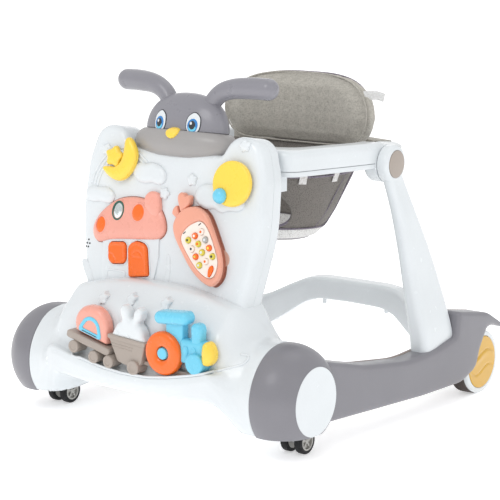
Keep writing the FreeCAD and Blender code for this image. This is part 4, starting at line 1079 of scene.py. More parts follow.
def bumper_ring(x):
    """Closed (y, z) outline of the bumper at one x: ledge and recess in the middle, a drum at the ends."""
    reach = abs(x)
    lip, top = lip_height(x), np.interp(reach, TOP_X, TOP_Z)
    low = np.interp(reach, [0, 100, 180], [70.5, 72, 80])
    ledge = [(40, low, 0.5), (-58, low, 34), (-98, low + 12, 26), (-107, lip - 12, 12), (-105, lip, 3.2),
             (-82, lip - 2, 8), (-78, max(top - 44, lip + 22), 46), (-36, top, 30), (40, top + 2, 0.5)]
    drum = []
    for start, end in zip(CIRCLE_TOUCHES, CIRCLE_TOUCHES[1:]):
        middle, half = math.radians((start + end) / 2), math.radians(abs(end - start) / 2)
        distance = POD_RADIUS / math.cos(half)
        drum.append((distance * math.cos(middle), POD_Z + distance * math.sin(middle), POD_RADIUS))
    weight = float(smoothstep(reach, BLEND_FROM, BLEND_TO))
    corners = [tuple(p * (1 - weight) + q * weight for p, q in zip(a, b)) for a, b in zip(ledge, drum)]
    ring = section(corners)
    ring[:, 1] = np.maximum(ring[:, 1], POD_FLOOR_Z)
    return ring


stations = np.concatenate([[-POD_INNER_X + 0.4, -POD_INNER_X + 1.2], np.linspace(-229, -150, 28),
                           np.linspace(-146, 146, 60), np.linspace(150, 229, 28),
                           [POD_INNER_X - 1.2, POD_INNER_X - 0.4]])
rings = []
for x in stations:
    outline = bumper_ring(x)
    if abs(x) > POD_INNER_X - 1:
        centre = np.array([0.0, POD_Z])
        outline = centre + (outline - centre) * 0.99
        outline[:, 1] = np.maximum(outline[:, 1], POD_FLOOR_Z)
    rings.append(np.stack([np.full(len(outline), x), outline[:, 0], outline[:, 1]], -1))
bumper = loft("bumper", rings, WHITE, "root", sharp=50)
for side in (-1, 1):
    cut(bumper, drum_cutter((side * 250.0, 6.0, 0.0), (0, 0, 1), 20, 52, 45.5))
bumper.data.set_sharp_from_angle(angle=math.radians(50))


def recess_spot(level):
    """Spot on the recess wall of the bumper, drawn as (x, z)."""
    def spot(a, b, h):
        y = np.empty(len(a))
        for i, (x, z) in enumerate(zip(a, b)):
            ring = bumper_ring(x)
            near = ring[(ring[:, 0] < 5) & (ring[:, 1] > lip_height(x) + 3)]
            order = np.argsort(near[:, 1])
            y[i] = np.interp(z, near[order, 1], near[order, 0])
        return np.stack([a, y - level - h, b], -1)
    return spot


def star_spot(centre_x, centre_z):
    """Spot for a star that stands more upright than the recess wall behind it."""
    wall = recess_spot(0.0)
    middle = wall(np.array([centre_x]), np.array([centre_z]), np.zeros(1))[0, 1]

    def spot(a, b, h):
        points = wall(a, b, h)
        points[:, 1] = np.minimum(points[:, 1] - 2.0, 0.35 * points[:, 1] + 0.65 * (middle - h) - 4.0)
        return points
    return spot


for index, (a, b, tilt) in enumerate([(-81, 221, 10), (-22, 226, 4), (48, 228, 8)]):
    slab(f"bumper_star_{index}", star_loop(a, b, 12.5, tilt), star_spot(a, b), 14.0, WHITE, "root",
         roll=1.2, grid=2.4, crown=puffy(3.6, 5))

# The bead along the front edge of the ledge curls up at both ends.
bead_x = np.concatenate([[-112, -118, -121, -117, -109], np.linspace(-100, 186, 40),
                         [194, 203, 208, 205, 196]])
bead_z = np.concatenate([[140, 139, 133, 127.5, 124.6], [lip_height(x) + 1.6
                                                         for x in np.linspace(-100, 186, 40)],
                         [149.5, 153, 159, 165, 166.5]])
bead_y = []
for x, z in zip(bead_x, bead_z):
    ring = bumper_ring(x)
    if z <= lip_height(x) + 4:
        bead_y.append(-103.6 if abs(x) < BLEND_FROM else float(ring[np.argmin(np.abs(ring[:, 1] - z)
                                                                              + (ring[:, 0] > 0) * 1e3),
                                                                    0]))
    else:
        bead_y.append(float(np.interp(z,
                                      *[ring[(ring[:, 0] < 0)][np.argsort(ring[ring[:, 0] < 0][:, 1])][:, k]
                                        for k in (1, 0)])))
bead = smooth_loop(np.stack([bead_x, bead_y, bead_z], -1), 3.0, False)
tube("ledge_bead", bead, np.full(len(bead), 2.1), WHITE, "root", segments=16)

# ---------------------------------------------------------------- train

DONUT_AT = (73.5, 157.5)


def train_at(level):
    """Spot on the train: heights counted from its flat front."""
    return lambda a, b, h: np.stack([a, TRAIN_Y - level - h, b], -1)


DOME = rounded([(-114, 168, 4), (-46, 151, 4), (-44, 190, 34), (-62, 212, 34), (-98, 214, 34),
                (-117, 190, 30)], 1.5)
slab("wagon_dome", DOME, train_at(1.0), 18.5, PINK, "root", roll=7.0, grid=3.0, crown=puffy(1.5, 18))
ARCH_AT = (-79, 174)
arch_outer = turned([(-103, 165, 3), (-55, 165, 3), (-55, 172, 14), (-66, 196, 22), (-92, 196, 22),
                     (-103, 172, 14)], -14, ARCH_AT)
arch_inner = turned([(-95.5, 171.5, 1.5), (-62.5, 171.5, 1.5), (-62.5, 174, 8), (-70, 189.5, 15),
                     (-88, 189.5, 15), (-95.5, 174, 8)], -14, ARCH_AT)
slab("wagon_arch", rounded(arch_outer, 1.2), train_at(4.2), 5.0, BLUE, "root", roll=1.6, grid=2.5,
     holes=(rounded(arch_inner, 1.2),))
slab("wagon_arch_inset", rounded(arch_inner, 1.2), train_at(1.9), 2.0, SALMON, "root", roll=0.4,
     grid=3.0)
bar_loop = rounded(turned(rectangle(-95, 167.2, -62, 168.6, 0.6), -14, ARCH_AT), 0.8)
slab("wagon_arch_line", bar_loop, train_at(4.6), 1.0, DARK, "root", roll=0.1, grid=2.0)

cart_bar = rounded(turned(rectangle(-131, 145.5, -37, 158.5, 4.5), -13.5, (-84, 152)), 1.4)
slab("cart_left", cart_bar, train_at(4.5), 22.5, TAUPE, "root", roll=2.4, grid=3.0)
cart_tub = rounded([(-41, 173, 3), (-39, 166, 3), (-22, 130, 9), (0, 125, 8), (27, 129, 9), (35, 163, 3),
                    (36, 168, 3)], 1.4)
slab("cart_middle", cart_tub, train_at(2.5), 20.5, TAUPE, "root", roll=2.6, grid=3.0)
slab("cart_middle_rim", rounded([(-42, 174, 2), (-40.5, 166.5, 2), (36, 160.5, 2), (38, 168.5, 2)], 1.2),
     train_at(4.2), 10.0, TAUPE, "root", roll=1.8, grid=3.0)
for index, (z0, x0, x1) in enumerate([(159, -35, 12), (154, -33, 10)]):
    line = rounded(turned(rectangle(x0, z0, x1, z0 + 1.3, 0.6), -4.5, (x0, z0)), 0.8)
    slab(f"cart_line_{index}", line, train_at(3.1), 1.0, TAUPE, "root", roll=0.4, grid=2.0)
CART_WHEELS = ((-113, 142, 10.5), (-70, 130.5, 10.5), (-38, 127.5, 10.5), (14, 125.5, 12))
for index, (x, z, radius) in enumerate(CART_WHEELS):
    profile = round_profile(-22, 6.5, radius, 0.5, 2.2)
    profile = profile[:-1] + [(6.5, radius * 0.62), (5.6, radius * 0.52), (5.6, 0.0)]
    turned_part(f"cart_wheel_{index}", profile, (x, TRAIN_Y - 1.5, z), (0, -1, 0), TAUPE, "root",
                segments=48)
coupler = rounded([(22, 137, 2), (22, 131, 2), (118, 122, 2), (128, 124, 2), (128, 130, 2)], 1.5)
slab("train_coupler", coupler, train_at(-6), 12.0, TAUPE, "root", roll=1.0, grid=4.0)

BUNNY = smooth_loop([(-36, 172), (-34, 188), (-26, 203), (-17, 211), (-20, 222), (-21, 236), (-15, 245),
                     (-7, 243), (-1, 233), (3, 218), (9, 221), (11, 233), (18, 243), (26, 243), (31, 234),
                     (28, 219), (22, 208), (30, 196), (34, 182), (35, 166), (0, 168)], 1.4)
BUNNY = np.column_stack([BUNNY[:, 0] * 0.93, 167 + (BUNNY[:, 1] - 167) * 0.73])
slab("bunny", BUNNY, train_at(0.5), 17.5, WHITE, "root", roll=6.0, grid=1.7,
     crown=puffy(2.5, 16))
for index, (a, b) in enumerate([(-20, 178), (2, 175)]):
    slab(f"bunny_eye_{index}", ellipse(a, b, 1.6, 3.2, 0.8), train_at(3.2), 1.2, WHITE, "root",
         roll=0.6, grid=1.5)

LOCO_FACE = 0.5
cab = rounded([(78, 150, 3), (108, 150, 3), (110, 214, 4), (74, 210, 5)], 1.5)
slab("loco_cab", cab, train_at(-2.0), 16.0, BLUE, "root", roll=3.0, grid=3.0)
slab("loco_roof", rounded(turned(rectangle(55, 205.5, 124, 228, 10.5), 5.0, (90, 217)), 1.5), train_at(6.0),
     24.0, BLUE, "root", roll=7.5, grid=1.7, crown=puffy(1.5, 12))
boiler = rounded([(104, 146, 3), (150, 146, 6), (153, 186, 4), (104, 186, 3)], 1.5)
slab("loco_boiler", boiler, train_at(LOCO_FACE), 18.5, BLUE, "root", roll=5.5, grid=1.8)
stack = rounded([(126, 176, 3), (146, 176, 3), (148, 214, 10), (124, 214, 10)], 1.4)
slab("loco_stack", stack, train_at(0.0), 17.0, BLUE, "root", roll=6.0, grid=1.7)
for index, (a, b) in enumerate([(118, 168), (134, 167.5)]):
    slab(f"loco_boss_{index}", ellipse(a, b, 5.2, 8.2, 1.0), train_at(2.3), 3.0, BLUE, "root",
         roll=1.2, grid=2.0)
    slab(f"loco_boss_dish_{index}", ellipse(a, b, 3.2, 6.0, 1.0), train_at(2.9), 1.4, BLUE, "root",
         roll=0.5, grid=2.0)
turned_part("loco_wheel", round_profile(-20, 8, 17.0, 0.5, 3.5), (138, TRAIN_Y + 0.5, 150), (0, -1, 0),
            BLUE, "root", segments=64)
nose_loop = smooth_loop([(150, 152), (148.5, 169), (151, 183), (158, 188), (166, 184), (171.5, 173),
                         (171.5, 161), (166, 152), (158, 148)], 1.3)
slab("loco_snout", nose_loop, train_at(4.5), 20.0, YELLOW, "root", roll=8.0, grid=1.7,
     crown=puffy(1.5, 12))
turned_part("donut_hub", [(-15, 0), (-15, 9.6), (3.0, 9.6), (4.2, 8.8), (4.6, 0)],
            (DONUT_AT[0], TRAIN_Y - 1, DONUT_AT[1]), (0, -1, 0), BLUE, "root", segments=48)


def donut_crown(a, b, distance):
    """Shallow sprinkles pressed into the ring."""
    height = np.zeros(len(a))
    for k in range(6):
        angle = math.radians(90 + 60 * k)
        ca, cb = DONUT_AT[0] + 23.5 * math.cos(angle), DONUT_AT[1] + 23.5 * math.sin(angle)
        height += (1.1 if k % 2 else -1.2) * np.exp(-((a - ca) ** 2 + (b - cb) ** 2) / 5.0)
    return height


slab("donut", circle(*DONUT_AT, 36.0, 1.6), train_at(7.0), 15.0, ORANGE, "donut", roll=7.0,
     back_roll=3.0, grid=1.7, holes=(circle(*DONUT_AT, 10.3, 1.2),), crown=donut_crown)

# ---------------------------------------------------------------- rabbit head

HEAD_CENTRE = (0.0, 31.0, 500.0)
HEAD_SIZE = (82.0, 33.0, 65.0)
MUZZLE_CENTRE = (0.0, 31.0, 482.0)
MUZZLE_SIZE = (101.0, 43.0, 32.0)
SEAM_V = 502.0
HEAD_POWER = 2.25


def leaned(x, depth, v):
    return panel_spot(np.asarray(x, float), np.asarray(v, float), -np.asarray(depth, float))


def dome_ring(centre, size, v, power, count=96):
    """Level ring of a rounded dome at height v up the panel."""
    t = min(abs((v - centre[2]) / size[2]), 0.9999)
    share = (1 - t ** power) ** (1 / power)
    angle = np.linspace(0, 2 * math.pi, count, endpoint=False)
    x = centre[0] + size[0] * share * np.sign(np.cos(angle)) * np.abs(np.cos(angle)) ** 0.96
    depth = centre[1] + size[1] * share * np.sign(np.sin(angle)) * np.abs(np.sin(angle)) ** 0.92
    return leaned(x, depth, np.full(count, v))


heights = SEAM_V + (HEAD_CENTRE[2] + HEAD_SIZE[2] - SEAM_V) * np.sin(np.linspace(0, math.pi / 2, 30))
rings = [dome_ring(HEAD_CENTRE, tuple(k - 1.6 for k in HEAD_SIZE), SEAM_V + 0.2, HEAD_POWER)]
rings += [dome_ring(HEAD_CENTRE, HEAD_SIZE, v + (1.0 if i == 0 else 0), HEAD_POWER) for i,
          v in enumerate(heights[:-1])]
loft("head", rings, HEAD_GREY, "root")
heights = 459 + (SEAM_V - 0.8 - 459) * np.linspace(0, 1, 26)
rings = [dome_ring(MUZZLE_CENTRE, MUZZLE_SIZE, v, 2.3) for v in heights]
rings.append(dome_ring(MUZZLE_CENTRE, tuple(k - 2 for k in MUZZLE_SIZE), SEAM_V + 0.4, 2.3))
rings.append(dome_ring(MUZZLE_CENTRE, tuple(k - 9 for k in MUZZLE_SIZE), SEAM_V + 1.6, 2.3))
loft("muzzle", rings, MUZZLE, "root")


def face_at(centre, size, power, level):
    """Spot draped on the front of the head or the muzzle."""
    def spot(a, b, h):
        t = np.clip(np.abs((b - centre[2]) / size[2]), 0, 0.97)
        share = (1 - t ** power) ** (1 / power)
        u = np.clip(np.abs((a - centre[0]) / (size[0] * share)), 0, 0.985)
        front = size[1] * share * np.sqrt(1 - u * u) ** 0.94
        return panel_spot(a, b, front - centre[1] + level + h)
    return spot


for side, (ax, av) in ((-1, (-34.5, 514.5)), (1, (34.0, 514.5))):
    name = "left" if side < 0 else "right"
    drape = lambda level: face_at(HEAD_CENTRE, HEAD_SIZE, HEAD_POWER, level)
    oval = smooth_loop([(ax, av + 17.5), (ax + 9.6, av + 11), (ax + 12.2, av), (ax + 9.8, av - 11),
                        (ax, av - 15.5), (ax - 9.8, av - 11), (ax - 12.2, av), (ax - 9.6, av + 11)], 1.0)
    slab(f"{name}_eye_rim", grown(oval, 1.5), drape(0.9), 2.2, DARK, "root", roll=0.4, grid=2.0)
    slab(f"{name}_eye_white", oval, drape(1.5), 2.4, WHITE, "root", roll=0.4, grid=2.0)
    ix, iv = ax - 0.4, av - 3.2
    slab(f"{name}_iris", ellipse(ix, iv, 9.2, 11.2, 0.9), drape(2.0), 2.0, DEEP_BLUE, "root",
         roll=0.3, grid=1.8)
    slab(f"{name}_iris_glow", ellipse(ix, iv - 4.2, 6.6, 5.4, 0.9), drape(2.25), 1.4, BLUE, "root",
         roll=0.2, grid=1.8)
    slab(f"{name}_pupil", ellipse(ix - 0.4, iv + 0.6, 5.6, 7.0, 0.8), drape(2.6), 1.6, DARK, "root",
         roll=0.3, grid=1.6)
    slab(f"{name}_glint", ellipse(ix - 2.4, iv + 3.4, 2.0, 2.4, 0.6), drape(3.1), 1.0, WHITE, "root",
         roll=0.2, grid=1.0)

nose_oval = smooth_loop([(-13, 500), (-8, 505.5), (0, 507), (8, 505.5), (13, 500), (11, 493), (4, 487.5),
                         (-4, 487.5), (-11, 493)], 1.1)
slab("nose", nose_oval, face_at(MUZZLE_CENTRE, MUZZLE_SIZE, 2.3, 3.0), 9.0, YELLOW, "root",
     roll=3.6, grid=1.8, crown=puffy(3.2, 9))

for name in ("bunny", "loco_roof", "loco_cab", "loco_boiler", "loco_stack", "loco_snout", "wagon_dome",
             "roof", "chimney", "moon_crescent", "moon_star", "phone_leaves", "phone_leaf_small", "nose",
             "donut"):
    soften(bpy.data.objects[name], 12)

EAR = [(40, 61, 534), (52, 63, 550), (66, 64, 560), (82, 66.5, 565), (98, 69, 567), (122, 73, 568),
       (146, 76, 567.5)]
for side in (-1, 1):
    path = smooth_loop([(side * x, depth, v) for x, depth, v in EAR], 4.0, False)
    t = np.linspace(0, 1, len(path))
    tube("right_ear" if side > 0 else "left_ear", path, 14.5 + 3.2 * smoothstep(t, 0.0, 0.8), HEAD_GREY,
         "root")


# ---------------------------------------------------------------- seat ring

RING = [(-90, 93, 15), (90, 93, 15), (104, 82, 15), (187, 82, 32), (229, 262, 120), (229, 350, 60),
        (200, 400, 60), (90, 440, 150), (-90, 440, 150), (-200, 400, 60), (-229, 350, 60), (-229, 262, 120),
        (-187, 82, 32), (-104, 82, 15)]
RING_INNER = [(-150, 128, 40), (150, 128, 40), (188, 262, 100), (188, 350, 60), (165, 380, 50),
              (70, 410, 150), (-70, 410, 150), (-165, 380, 50), (-188, 350, 60), (-188, 262, 100)]
RING_MIDDLE_Y = 255.0
SEAM_Z = 436.0
RING_TOP = 470.0
RING_BOTTOM = 427.0
REAR_DROP = 12.0


def by_angle(loop, angles):
    """Points where rays from the middle of the ring cross an outline."""
    relative = loop - np.array([0.0, RING_MIDDLE_Y])
    turn = np.unwrap(np.arctan2(relative[:, 1], relative[:, 0]))
    if turn[-1] < turn[0]:
        relative, turn = relative[::-1], turn[::-1]
    start = turn[0]
    wrapped = (angles - start) % (2 * math.pi) + start
    turn = np.append(turn, turn[0] + 2 * math.pi)
    relative = np.vstack([relative, relative[:1]])
    return np.stack([np.interp(wrapped, turn, relative[:, k]) for k in (0, 1)],
                    -1) + np.array([0.0, RING_MIDDLE_Y])


ring_outer_loop, ring_inner_loop = rounded(RING, 1.0), rounded(RING_INNER, 1.0)


def ring_sweep(name, corners_for, material, body, first=0.0, last=360.0, count=240):
    """Skin swept round the seat ring.

    corners_for(width) gives its section as (from the outer edge, z, radius).
    """
    closed = last - first > 359
    angles = np.radians(np.linspace(first, last, count, endpoint=not closed))
    outer, inner = by_angle(ring_outer_loop, angles), by_angle(ring_inner_loop, angles)
    rings = []
    for p, q in zip(outer, inner):
        width = np.linalg.norm(q - p)
        along = (q - p) / width
        outline = section(corners_for(width), 6, 2)
        sunk = (REAR_DROP * smoothstep(p[1], 285, 345)
                * np.clip((outline[:, 1] - SEAM_Z) / (RING_TOP - SEAM_Z), 0, 1.1))
        rings.append(np.column_stack([p + outline[:, :1] * along, outline[:, 1] - sunk]))
    return loft(name, rings, material, body, around=closed, sharp=35)


ring_sweep("seat_top", lambda w: [(0, SEAM_Z + 0.5, 1), (0, RING_TOP, 11), (w, RING_TOP, 8),
                                  (w, SEAM_Z + 0.5, 1)], WHITE, "seat")
ring_sweep("seat_bottom", lambda w: [(0.8, RING_BOTTOM, 5), (0.8, SEAM_Z - 0.3, 0.6),
                                     (w - 0.8, SEAM_Z - 0.3, 0.6), (w - 0.8, RING_BOTTOM, 4)], WHITE,
           "seat")
for side, tag in SIDES:
    profile = round_profile(0, 26.3, 32.0, 7.0, 1.2)
    turned_part(f"{tag}_seat_knuckle", profile, (side * 203.0, HINGE_Y, HINGE_Z), (side, 0, 0), WHITE,
                "seat")

# ---------------------------------------------------------------- sling

SLING = [(446, 178, 133), (428, 174, 130), (404, 164, 121), (376, 151, 109), (346, 137, 96), (320, 121, 83),
         (304, 103, 70), (295, 80, 54), (290.5, 45, 30), (289.5, 8, 6)]
SLING_MIDDLE_Y = 262.0
LEG_X, LEG_Z, LEG_R = 72.0, 358.0, 37.0
sling_z = np.array([row[0] for row in SLING][::-1], float)
sling_a = np.array([row[1] for row in SLING][::-1], float)
sling_b = np.array([row[2] for row in SLING][::-1], float)


def sling_half(z):
    return np.interp(z, sling_z, sling_a), np.interp(z, sling_z, sling_b)


def sling_point(z, degrees, out=0.0):
    """Point of the sling's outside at a height and an angle from +X towards the back."""
    a, b = sling_half(z)
    t = math.radians(degrees)
    pull = 1 - 0.035 * math.cos(4 * t) * smoothstep(z, 300, 420)
    normal = np.array([math.cos(t) / a, math.sin(t) / b])
    normal /= np.linalg.norm(normal)
    return np.array([a * pull * math.cos(t) + out * normal[0],
                     SLING_MIDDLE_Y + b * pull * math.sin(t) + out * normal[1], z])


def sling_shell(name, levels, material, out, first=0.0, last=360.0, thickness=1.8, holes=True, creases=0.0):
    closed = last - first > 359
    angles = np.linspace(first, last, int((last - first) / 2.25) + 1)
    angles = angles[:-1] if closed else angles
    vertices, faces = [], []
    for z in levels:
        for t in angles:
            wave = creases * math.sin(math.radians(t) * 11 + z * 0.045) * float(smoothstep(z, 300, 330))
            vertices.append(sling_point(z, t, out + wave))
    count = len(angles)
    for i in range(len(levels) - 1):
        for k in range(count if closed else count - 1):
            m = (k + 1) % count
            faces.append((i * count + k, i * count + m, (i + 1) * count + m, (i + 1) * count + k))
    piece = make_piece(name, vertices, faces, material, "seat")
    solid = piece.modifiers.new("cloth thickness", "SOLIDIFY")
    solid.thickness = thickness * MM
    solid.offset = -1.0
    bake(piece)
    if holes:
        for side in (-1, 1):
            cut(piece, leg_cutter(side))
    return piece


def leg_cutter(side):
    angles = np.linspace(0, 2 * math.pi, 64, endpoint=False)
    rings = [np.column_stack([side * LEG_X + LEG_R * np.cos(angles), np.full(64, y),
                              LEG_Z + LEG_R * 0.95 * np.sin(angles)]) for y in (80.0, 235.0)]
    return cutter(rings)


SLING_TOP, SLING_NET_TOP = 446.0, 319.0
body_levels = np.concatenate([np.linspace(SLING_TOP, 338, 26), np.linspace(333, SLING_NET_TOP, 5)])
sling = sling_shell("sling", body_levels, SLING_CLOTH, 0.0, creases=0.9)
net = sling_shell("sling_net", np.concatenate([np.linspace(SLING_NET_TOP - 0.4, 292, 10),
                                               [291, 290.4, 289.9, 289.6]]), WHITE_NET, 0.5, holes=False)


def sling_path(points, out, step=4.0):
    """Smooth line on the outside of the sling through (z, angle) points."""
    line = smooth_loop(points, step, False)
    return np.array([sling_point(z, t, out) for z, t in line])


for side, tag in SIDES:
    flip = (lambda t: t) if side > 0 else (lambda t: 180 - t)
    rear = sling_path([(444, flip(38)), (400, flip(34)), (350, flip(30)), (312, flip(26)), (300, flip(20))],
                      1.0)
    tube(f"sling_piping_rear_{tag}", rear, np.full(len(rear), 2.3), PIPING, "seat",
         segments=12)
    seam = sling_path([(444, flip(12)), (400, flip(8)), (350, flip(0)), (312, flip(-10))], 0.4)
    tube(f"sling_seam_{tag}", seam, np.full(len(seam), 0.9), PIPING, "seat", segments=8)
    around = []
    for t in np.linspace(0, 2 * math.pi, 60, endpoint=False):
        x, z = side * LEG_X + (LEG_R - 0.5) * math.cos(t), LEG_Z + (LEG_R * 0.95 - 0.5) * math.sin(t)
        a, b = sling_half(z)
        y = SLING_MIDDLE_Y - b * math.sqrt(max(0.02, 1 - (x / a) ** 2)) * (1 - 0.035
                                                                           * float(smoothstep(z, 300, 420)))
        around.append((x, y + 1.0, z))
    around = np.array(around + around[:2])
    tube(f"leg_piping_{tag}", around, np.full(len(around), 2.2), PIPING, "seat", segments=12)
SLING_HEMS = (("sling_hem_low", 299.0, 1.2, 2.4), ("sling_hem_net", SLING_NET_TOP, 1.4, 1.5),
              ("sling_hem_top", 414.0, 1.2, 1.8))
for name, z, out, radius in SLING_HEMS:
    loop = np.array([sling_point(z, t, out) for t in np.linspace(0, 360, 121)])
    tube(name, loop, np.full(len(loop), radius), PIPING, "seat", segments=12)


def strap(name, path, width, thickness, across, material, body="seat"):
    """Flat webbing along points; across is the direction of its width."""
    path = np.asarray(path, float)
    tangent = np.gradient(path, axis=0)
    tangent /= np.linalg.norm(tangent, axis=1, keepdims=True)
    across = np.asarray(across, float)
    rings = []
    for spot, direction in zip(path, tangent):
        side = across - direction * across.dot(direction)
        side /= np.linalg.norm(side)
        up = np.cross(direction, side)
        rings.append([spot + side * width / 2 * u + up * thickness / 2 * w
                      for u, w in ((-1, -1), (1, -1), (1, 1), (-1, 1))])
    return loft(name, [np.array(r) for r in rings], material, body, sharp=30)


RED_WEB = heather("red webbing", "EE6A5C", "D9584B", 0.0012, 0.003, 0.3)
for index, degrees in enumerate((-36, -6, 40, 140, 186, 216)):
    top = sling_point(437, degrees, 7.0)
    low = sling_point(402, degrees, 2.6)
    along = sling_point(420, degrees + 4, 3) - sling_point(420, degrees - 4, 3)
    route = smooth_loop([top, sling_point(426, degrees, 3.6), sling_point(414, degrees, 2.4), low], 3.0,
                        False)
    strap(f"sling_tab_{index}", route, 13.0, 1.4, along, WEBBING)
    if degrees in (-36, 216):
        red = smooth_loop([sling_point(428, degrees, 5.6), sling_point(423, degrees, 4.2),
                           sling_point(418, degrees, 3.6)], 2.0, False)
        strap(f"sling_tab_stitch_{index}", red, 13.6, 1.2, along, RED_WEB)

# ---------------------------------------------------------------- seat liner and backrest

ring_sweep("seat_liner", lambda w: [(7, 469, 1.2), (7, 472.4, 2.2), (w + 2.6, 472.4, 3),
                                    (w + 2.6, 438, 0.8), (w + 0.4, 438, 0.8), (w + 0.4, 470.4, 0.8)],
           PAD_CLOTH, "seat", 40, 140, 110)

PAD_HALF = [(0, 570.5), (58, 569), (104, 560), (136, 541), (152, 514), (152, 489), (140, 463), (116, 448),
            (60, 444), (0, 443)]
PAD_LEAN = math.radians(4)
PAD_FRONT_Y = 383.0
PAD_BOW = 38.0
PAD_BOW_REACH = 165.0
PAD_FACING = 0.985
PAD_NARROWING = -0.0015
PAD_FOOT_Z = 450.0
pad_loop = smooth_loop(PAD_HALF + [(-x, z) for x, z in reversed(PAD_HALF[1:-1])], 3.0)


def pad_at(level):
    """Spot on the curved, leaning backrest: drawn as (x, z), heights in front of its face."""
    def spot(a, b, h):
        rise = b - PAD_FOOT_Z
        y = PAD_FRONT_Y - PAD_BOW * (a / PAD_BOW_REACH) ** 2 - (h + level) * PAD_FACING
        x = a * (1 + (h + level) * PAD_NARROWING)
        return np.stack([x, y + rise * math.sin(PAD_LEAN), PAD_FOOT_Z + rise * math.cos(PAD_LEAN)], -1)
    return spot


def plump(piece, cap, voxel=0.005, pressure=4.0, frames=20):
    """Inflate a padded piece like a stuffed cushion; the result is part of its mesh."""
    remesh = piece.modifiers.new("remesh", "REMESH")
    remesh.mode = "VOXEL"
    remesh.voxel_size = voxel
    bake(piece)
    start = np.array([v.co for v in piece.data.vertices])
    cloth = piece.modifiers.new("cloth", "CLOTH")
    cloth.settings.quality = 6
    cloth.settings.use_pressure = True
    cloth.settings.uniform_pressure_force = pressure
    cloth.settings.effector_weights.gravity = 0.0
    cloth.point_cache.frame_start = 1
    cloth.point_cache.frame_end = frames
    scene = bpy.context.scene
    for frame_number in range(1, frames + 1):
        scene.frame_set(frame_number)
    graph = bpy.context.evaluated_depsgraph_get()
    result = piece.evaluated_get(graph).to_mesh()
    moved = np.array([v.co for v in result.vertices]) - start
    piece.evaluated_get(graph).to_mesh_clear()
    piece.modifiers.clear()
    scene.frame_set(1)
    length = np.linalg.norm(moved, axis=1, keepdims=True)
    moved *= np.minimum(1.0, cap / np.maximum(length, 1e-9))
    piece.data.vertices.foreach_set("co", (start + moved).ravel())
    smoother = piece.modifiers.new("smooth", "SMOOTH")
    smoother.iterations = 6
    finer = piece.modifiers.new("finer", "SUBSURF")
    finer.levels = 1
    finer.render_levels = 1
    bake(piece)
    piece.data.polygons.foreach_set("use_smooth", [True] * len(piece.data.polygons))


def pad_crown(a, b, distance):
    return 5.0 * (1 - np.exp(-distance / 26.0)) - 2.0 * np.exp(-((b - 470) / 9.0) ** 2)


pad = slab("backrest", grown(pad_loop, 4.0), pad_at(-0.5), 17.0, PAD_CLOTH, "seat", roll=6.0,
           back_roll=6.0, grid=8, crown=pad_crown)
plump(pad, 0.007)
for name, level in (("backrest_seam_front", -1.6), ("backrest_seam_back", -15.6)):
    rim = grown(pad_loop, -1.6)
    spots = pad_at(level)(rim[:, 0], rim[:, 1], np.zeros(len(rim)))
    spots = np.vstack([spots, spots[:2]])
    tube(name, spots, np.full(len(spots), 1.5), PIPING if name.endswith("back") else PAD_CLOTH, "seat",
         segments=10)

TAG_ANCHOR = pad_at(-9)(np.array([143.0]), np.array([537.0]), np.array([0.0]))[0]
tag_path = smooth_loop([TAG_ANCHOR + np.array(p) for p in ((-6, 0, 0), (6, 2, 1.5), (18, 5, 1.5),
                                                           (30, 8, -2.0))], 2.0, False)
care_tag = strap("care_tag", tag_path, 17.0, 0.5, (0.1, -0.35, 1.0), TAG_CLOTH)


# ---------------------------------------------------------------- base rails

RAIL_SIDE = [(40, 46, 2), (332, 35, 300), (452, 35, 60), (503, 52, 60), (513, 84, 60), (538, 119, 14),
             (560, 121, 40), (597, 110, 2.5), (594, 119, 3), (540, 147, 90), (436, 165, 6), (430, 122, 10),
             (371, 110, 200), (292, 104, 300), (163, 120, 300), (40, 150, 2)]
rail_loop = rounded(RAIL_SIDE, 2.5)


RAIL_THICKNESS = 36.0
LINER_THICKNESS = 10.5
LINER_GAP = 0.2
WHEEL_WELL_RADIUS = 61.5


def rail_outer(y):
    """Outer face of a base rail, as a distance from the middle."""
    return np.interp(y, [40, 180, 330, 400, 470, 600], [284, 291.5, 298.6, 302, 304.5, 304.5])


def liner_outer(y):
    """Outer face of a rail's brown liner, just inside the rail."""
    return rail_outer(y) - (RAIL_THICKNESS + LINER_GAP)


for side, tag in SIDES:
    rail = slab(f"{tag}_rail", rail_loop, side_spot(rail_outer, side), RAIL_THICKNESS, GREY, "root",
                roll=9, back_roll=0.8, rise=6.5, grid=9)
    liner = slab(f"{tag}_rail_liner", rail_loop, side_spot(liner_outer, side), LINER_THICKNESS,
                 BROWN_PLASTIC, "root", roll=0.6, back_roll=5, grid=9)
    for half in (rail, liner):
        cut(half, drum_cutter((0, REAR_Y, REAR_Z), (side, 0, 0), 235, 301.4, WHEEL_WELL_RADIUS))
        half.data.set_sharp_from_angle(angle=math.radians(38))
    inner_wall = rounded([(418, 40, 8), (520, 40, 20), (562, 52, 24), (566, 100, 16), (545, 124, 8),
                          (424, 124, 2)], 2.0)
    slab(f"{tag}_wheel_housing", inner_wall, side_spot(263.0, side), 20.0, BROWN_PLASTIC, "root",
         roll=2, back_roll=7, grid=8)

# ---------------------------------------------------------------- rear wheels

CAP_RADIUS = 47.0
FLANGE_RADIUS = 56.5


def cap_crown(a, b, distance):
    """Two flowing waves pressed into the hub cap."""
    u, v = a - REAR_Y, b - REAR_Z
    first = v - 14 - 7 * np.sin((u + 8) / 15)
    second = v + 14 - 7 * np.sin((u - 2) / 13)
    fade = np.clip(distance / 9, 0, 1)
    return (-1.5 * np.exp(-(first / 2.0) ** 2) - 1.5 * np.exp(-(second / 2.0) ** 2)
            + 1.1 * np.exp(-((first + 6) / 6.0) ** 2)) * fade


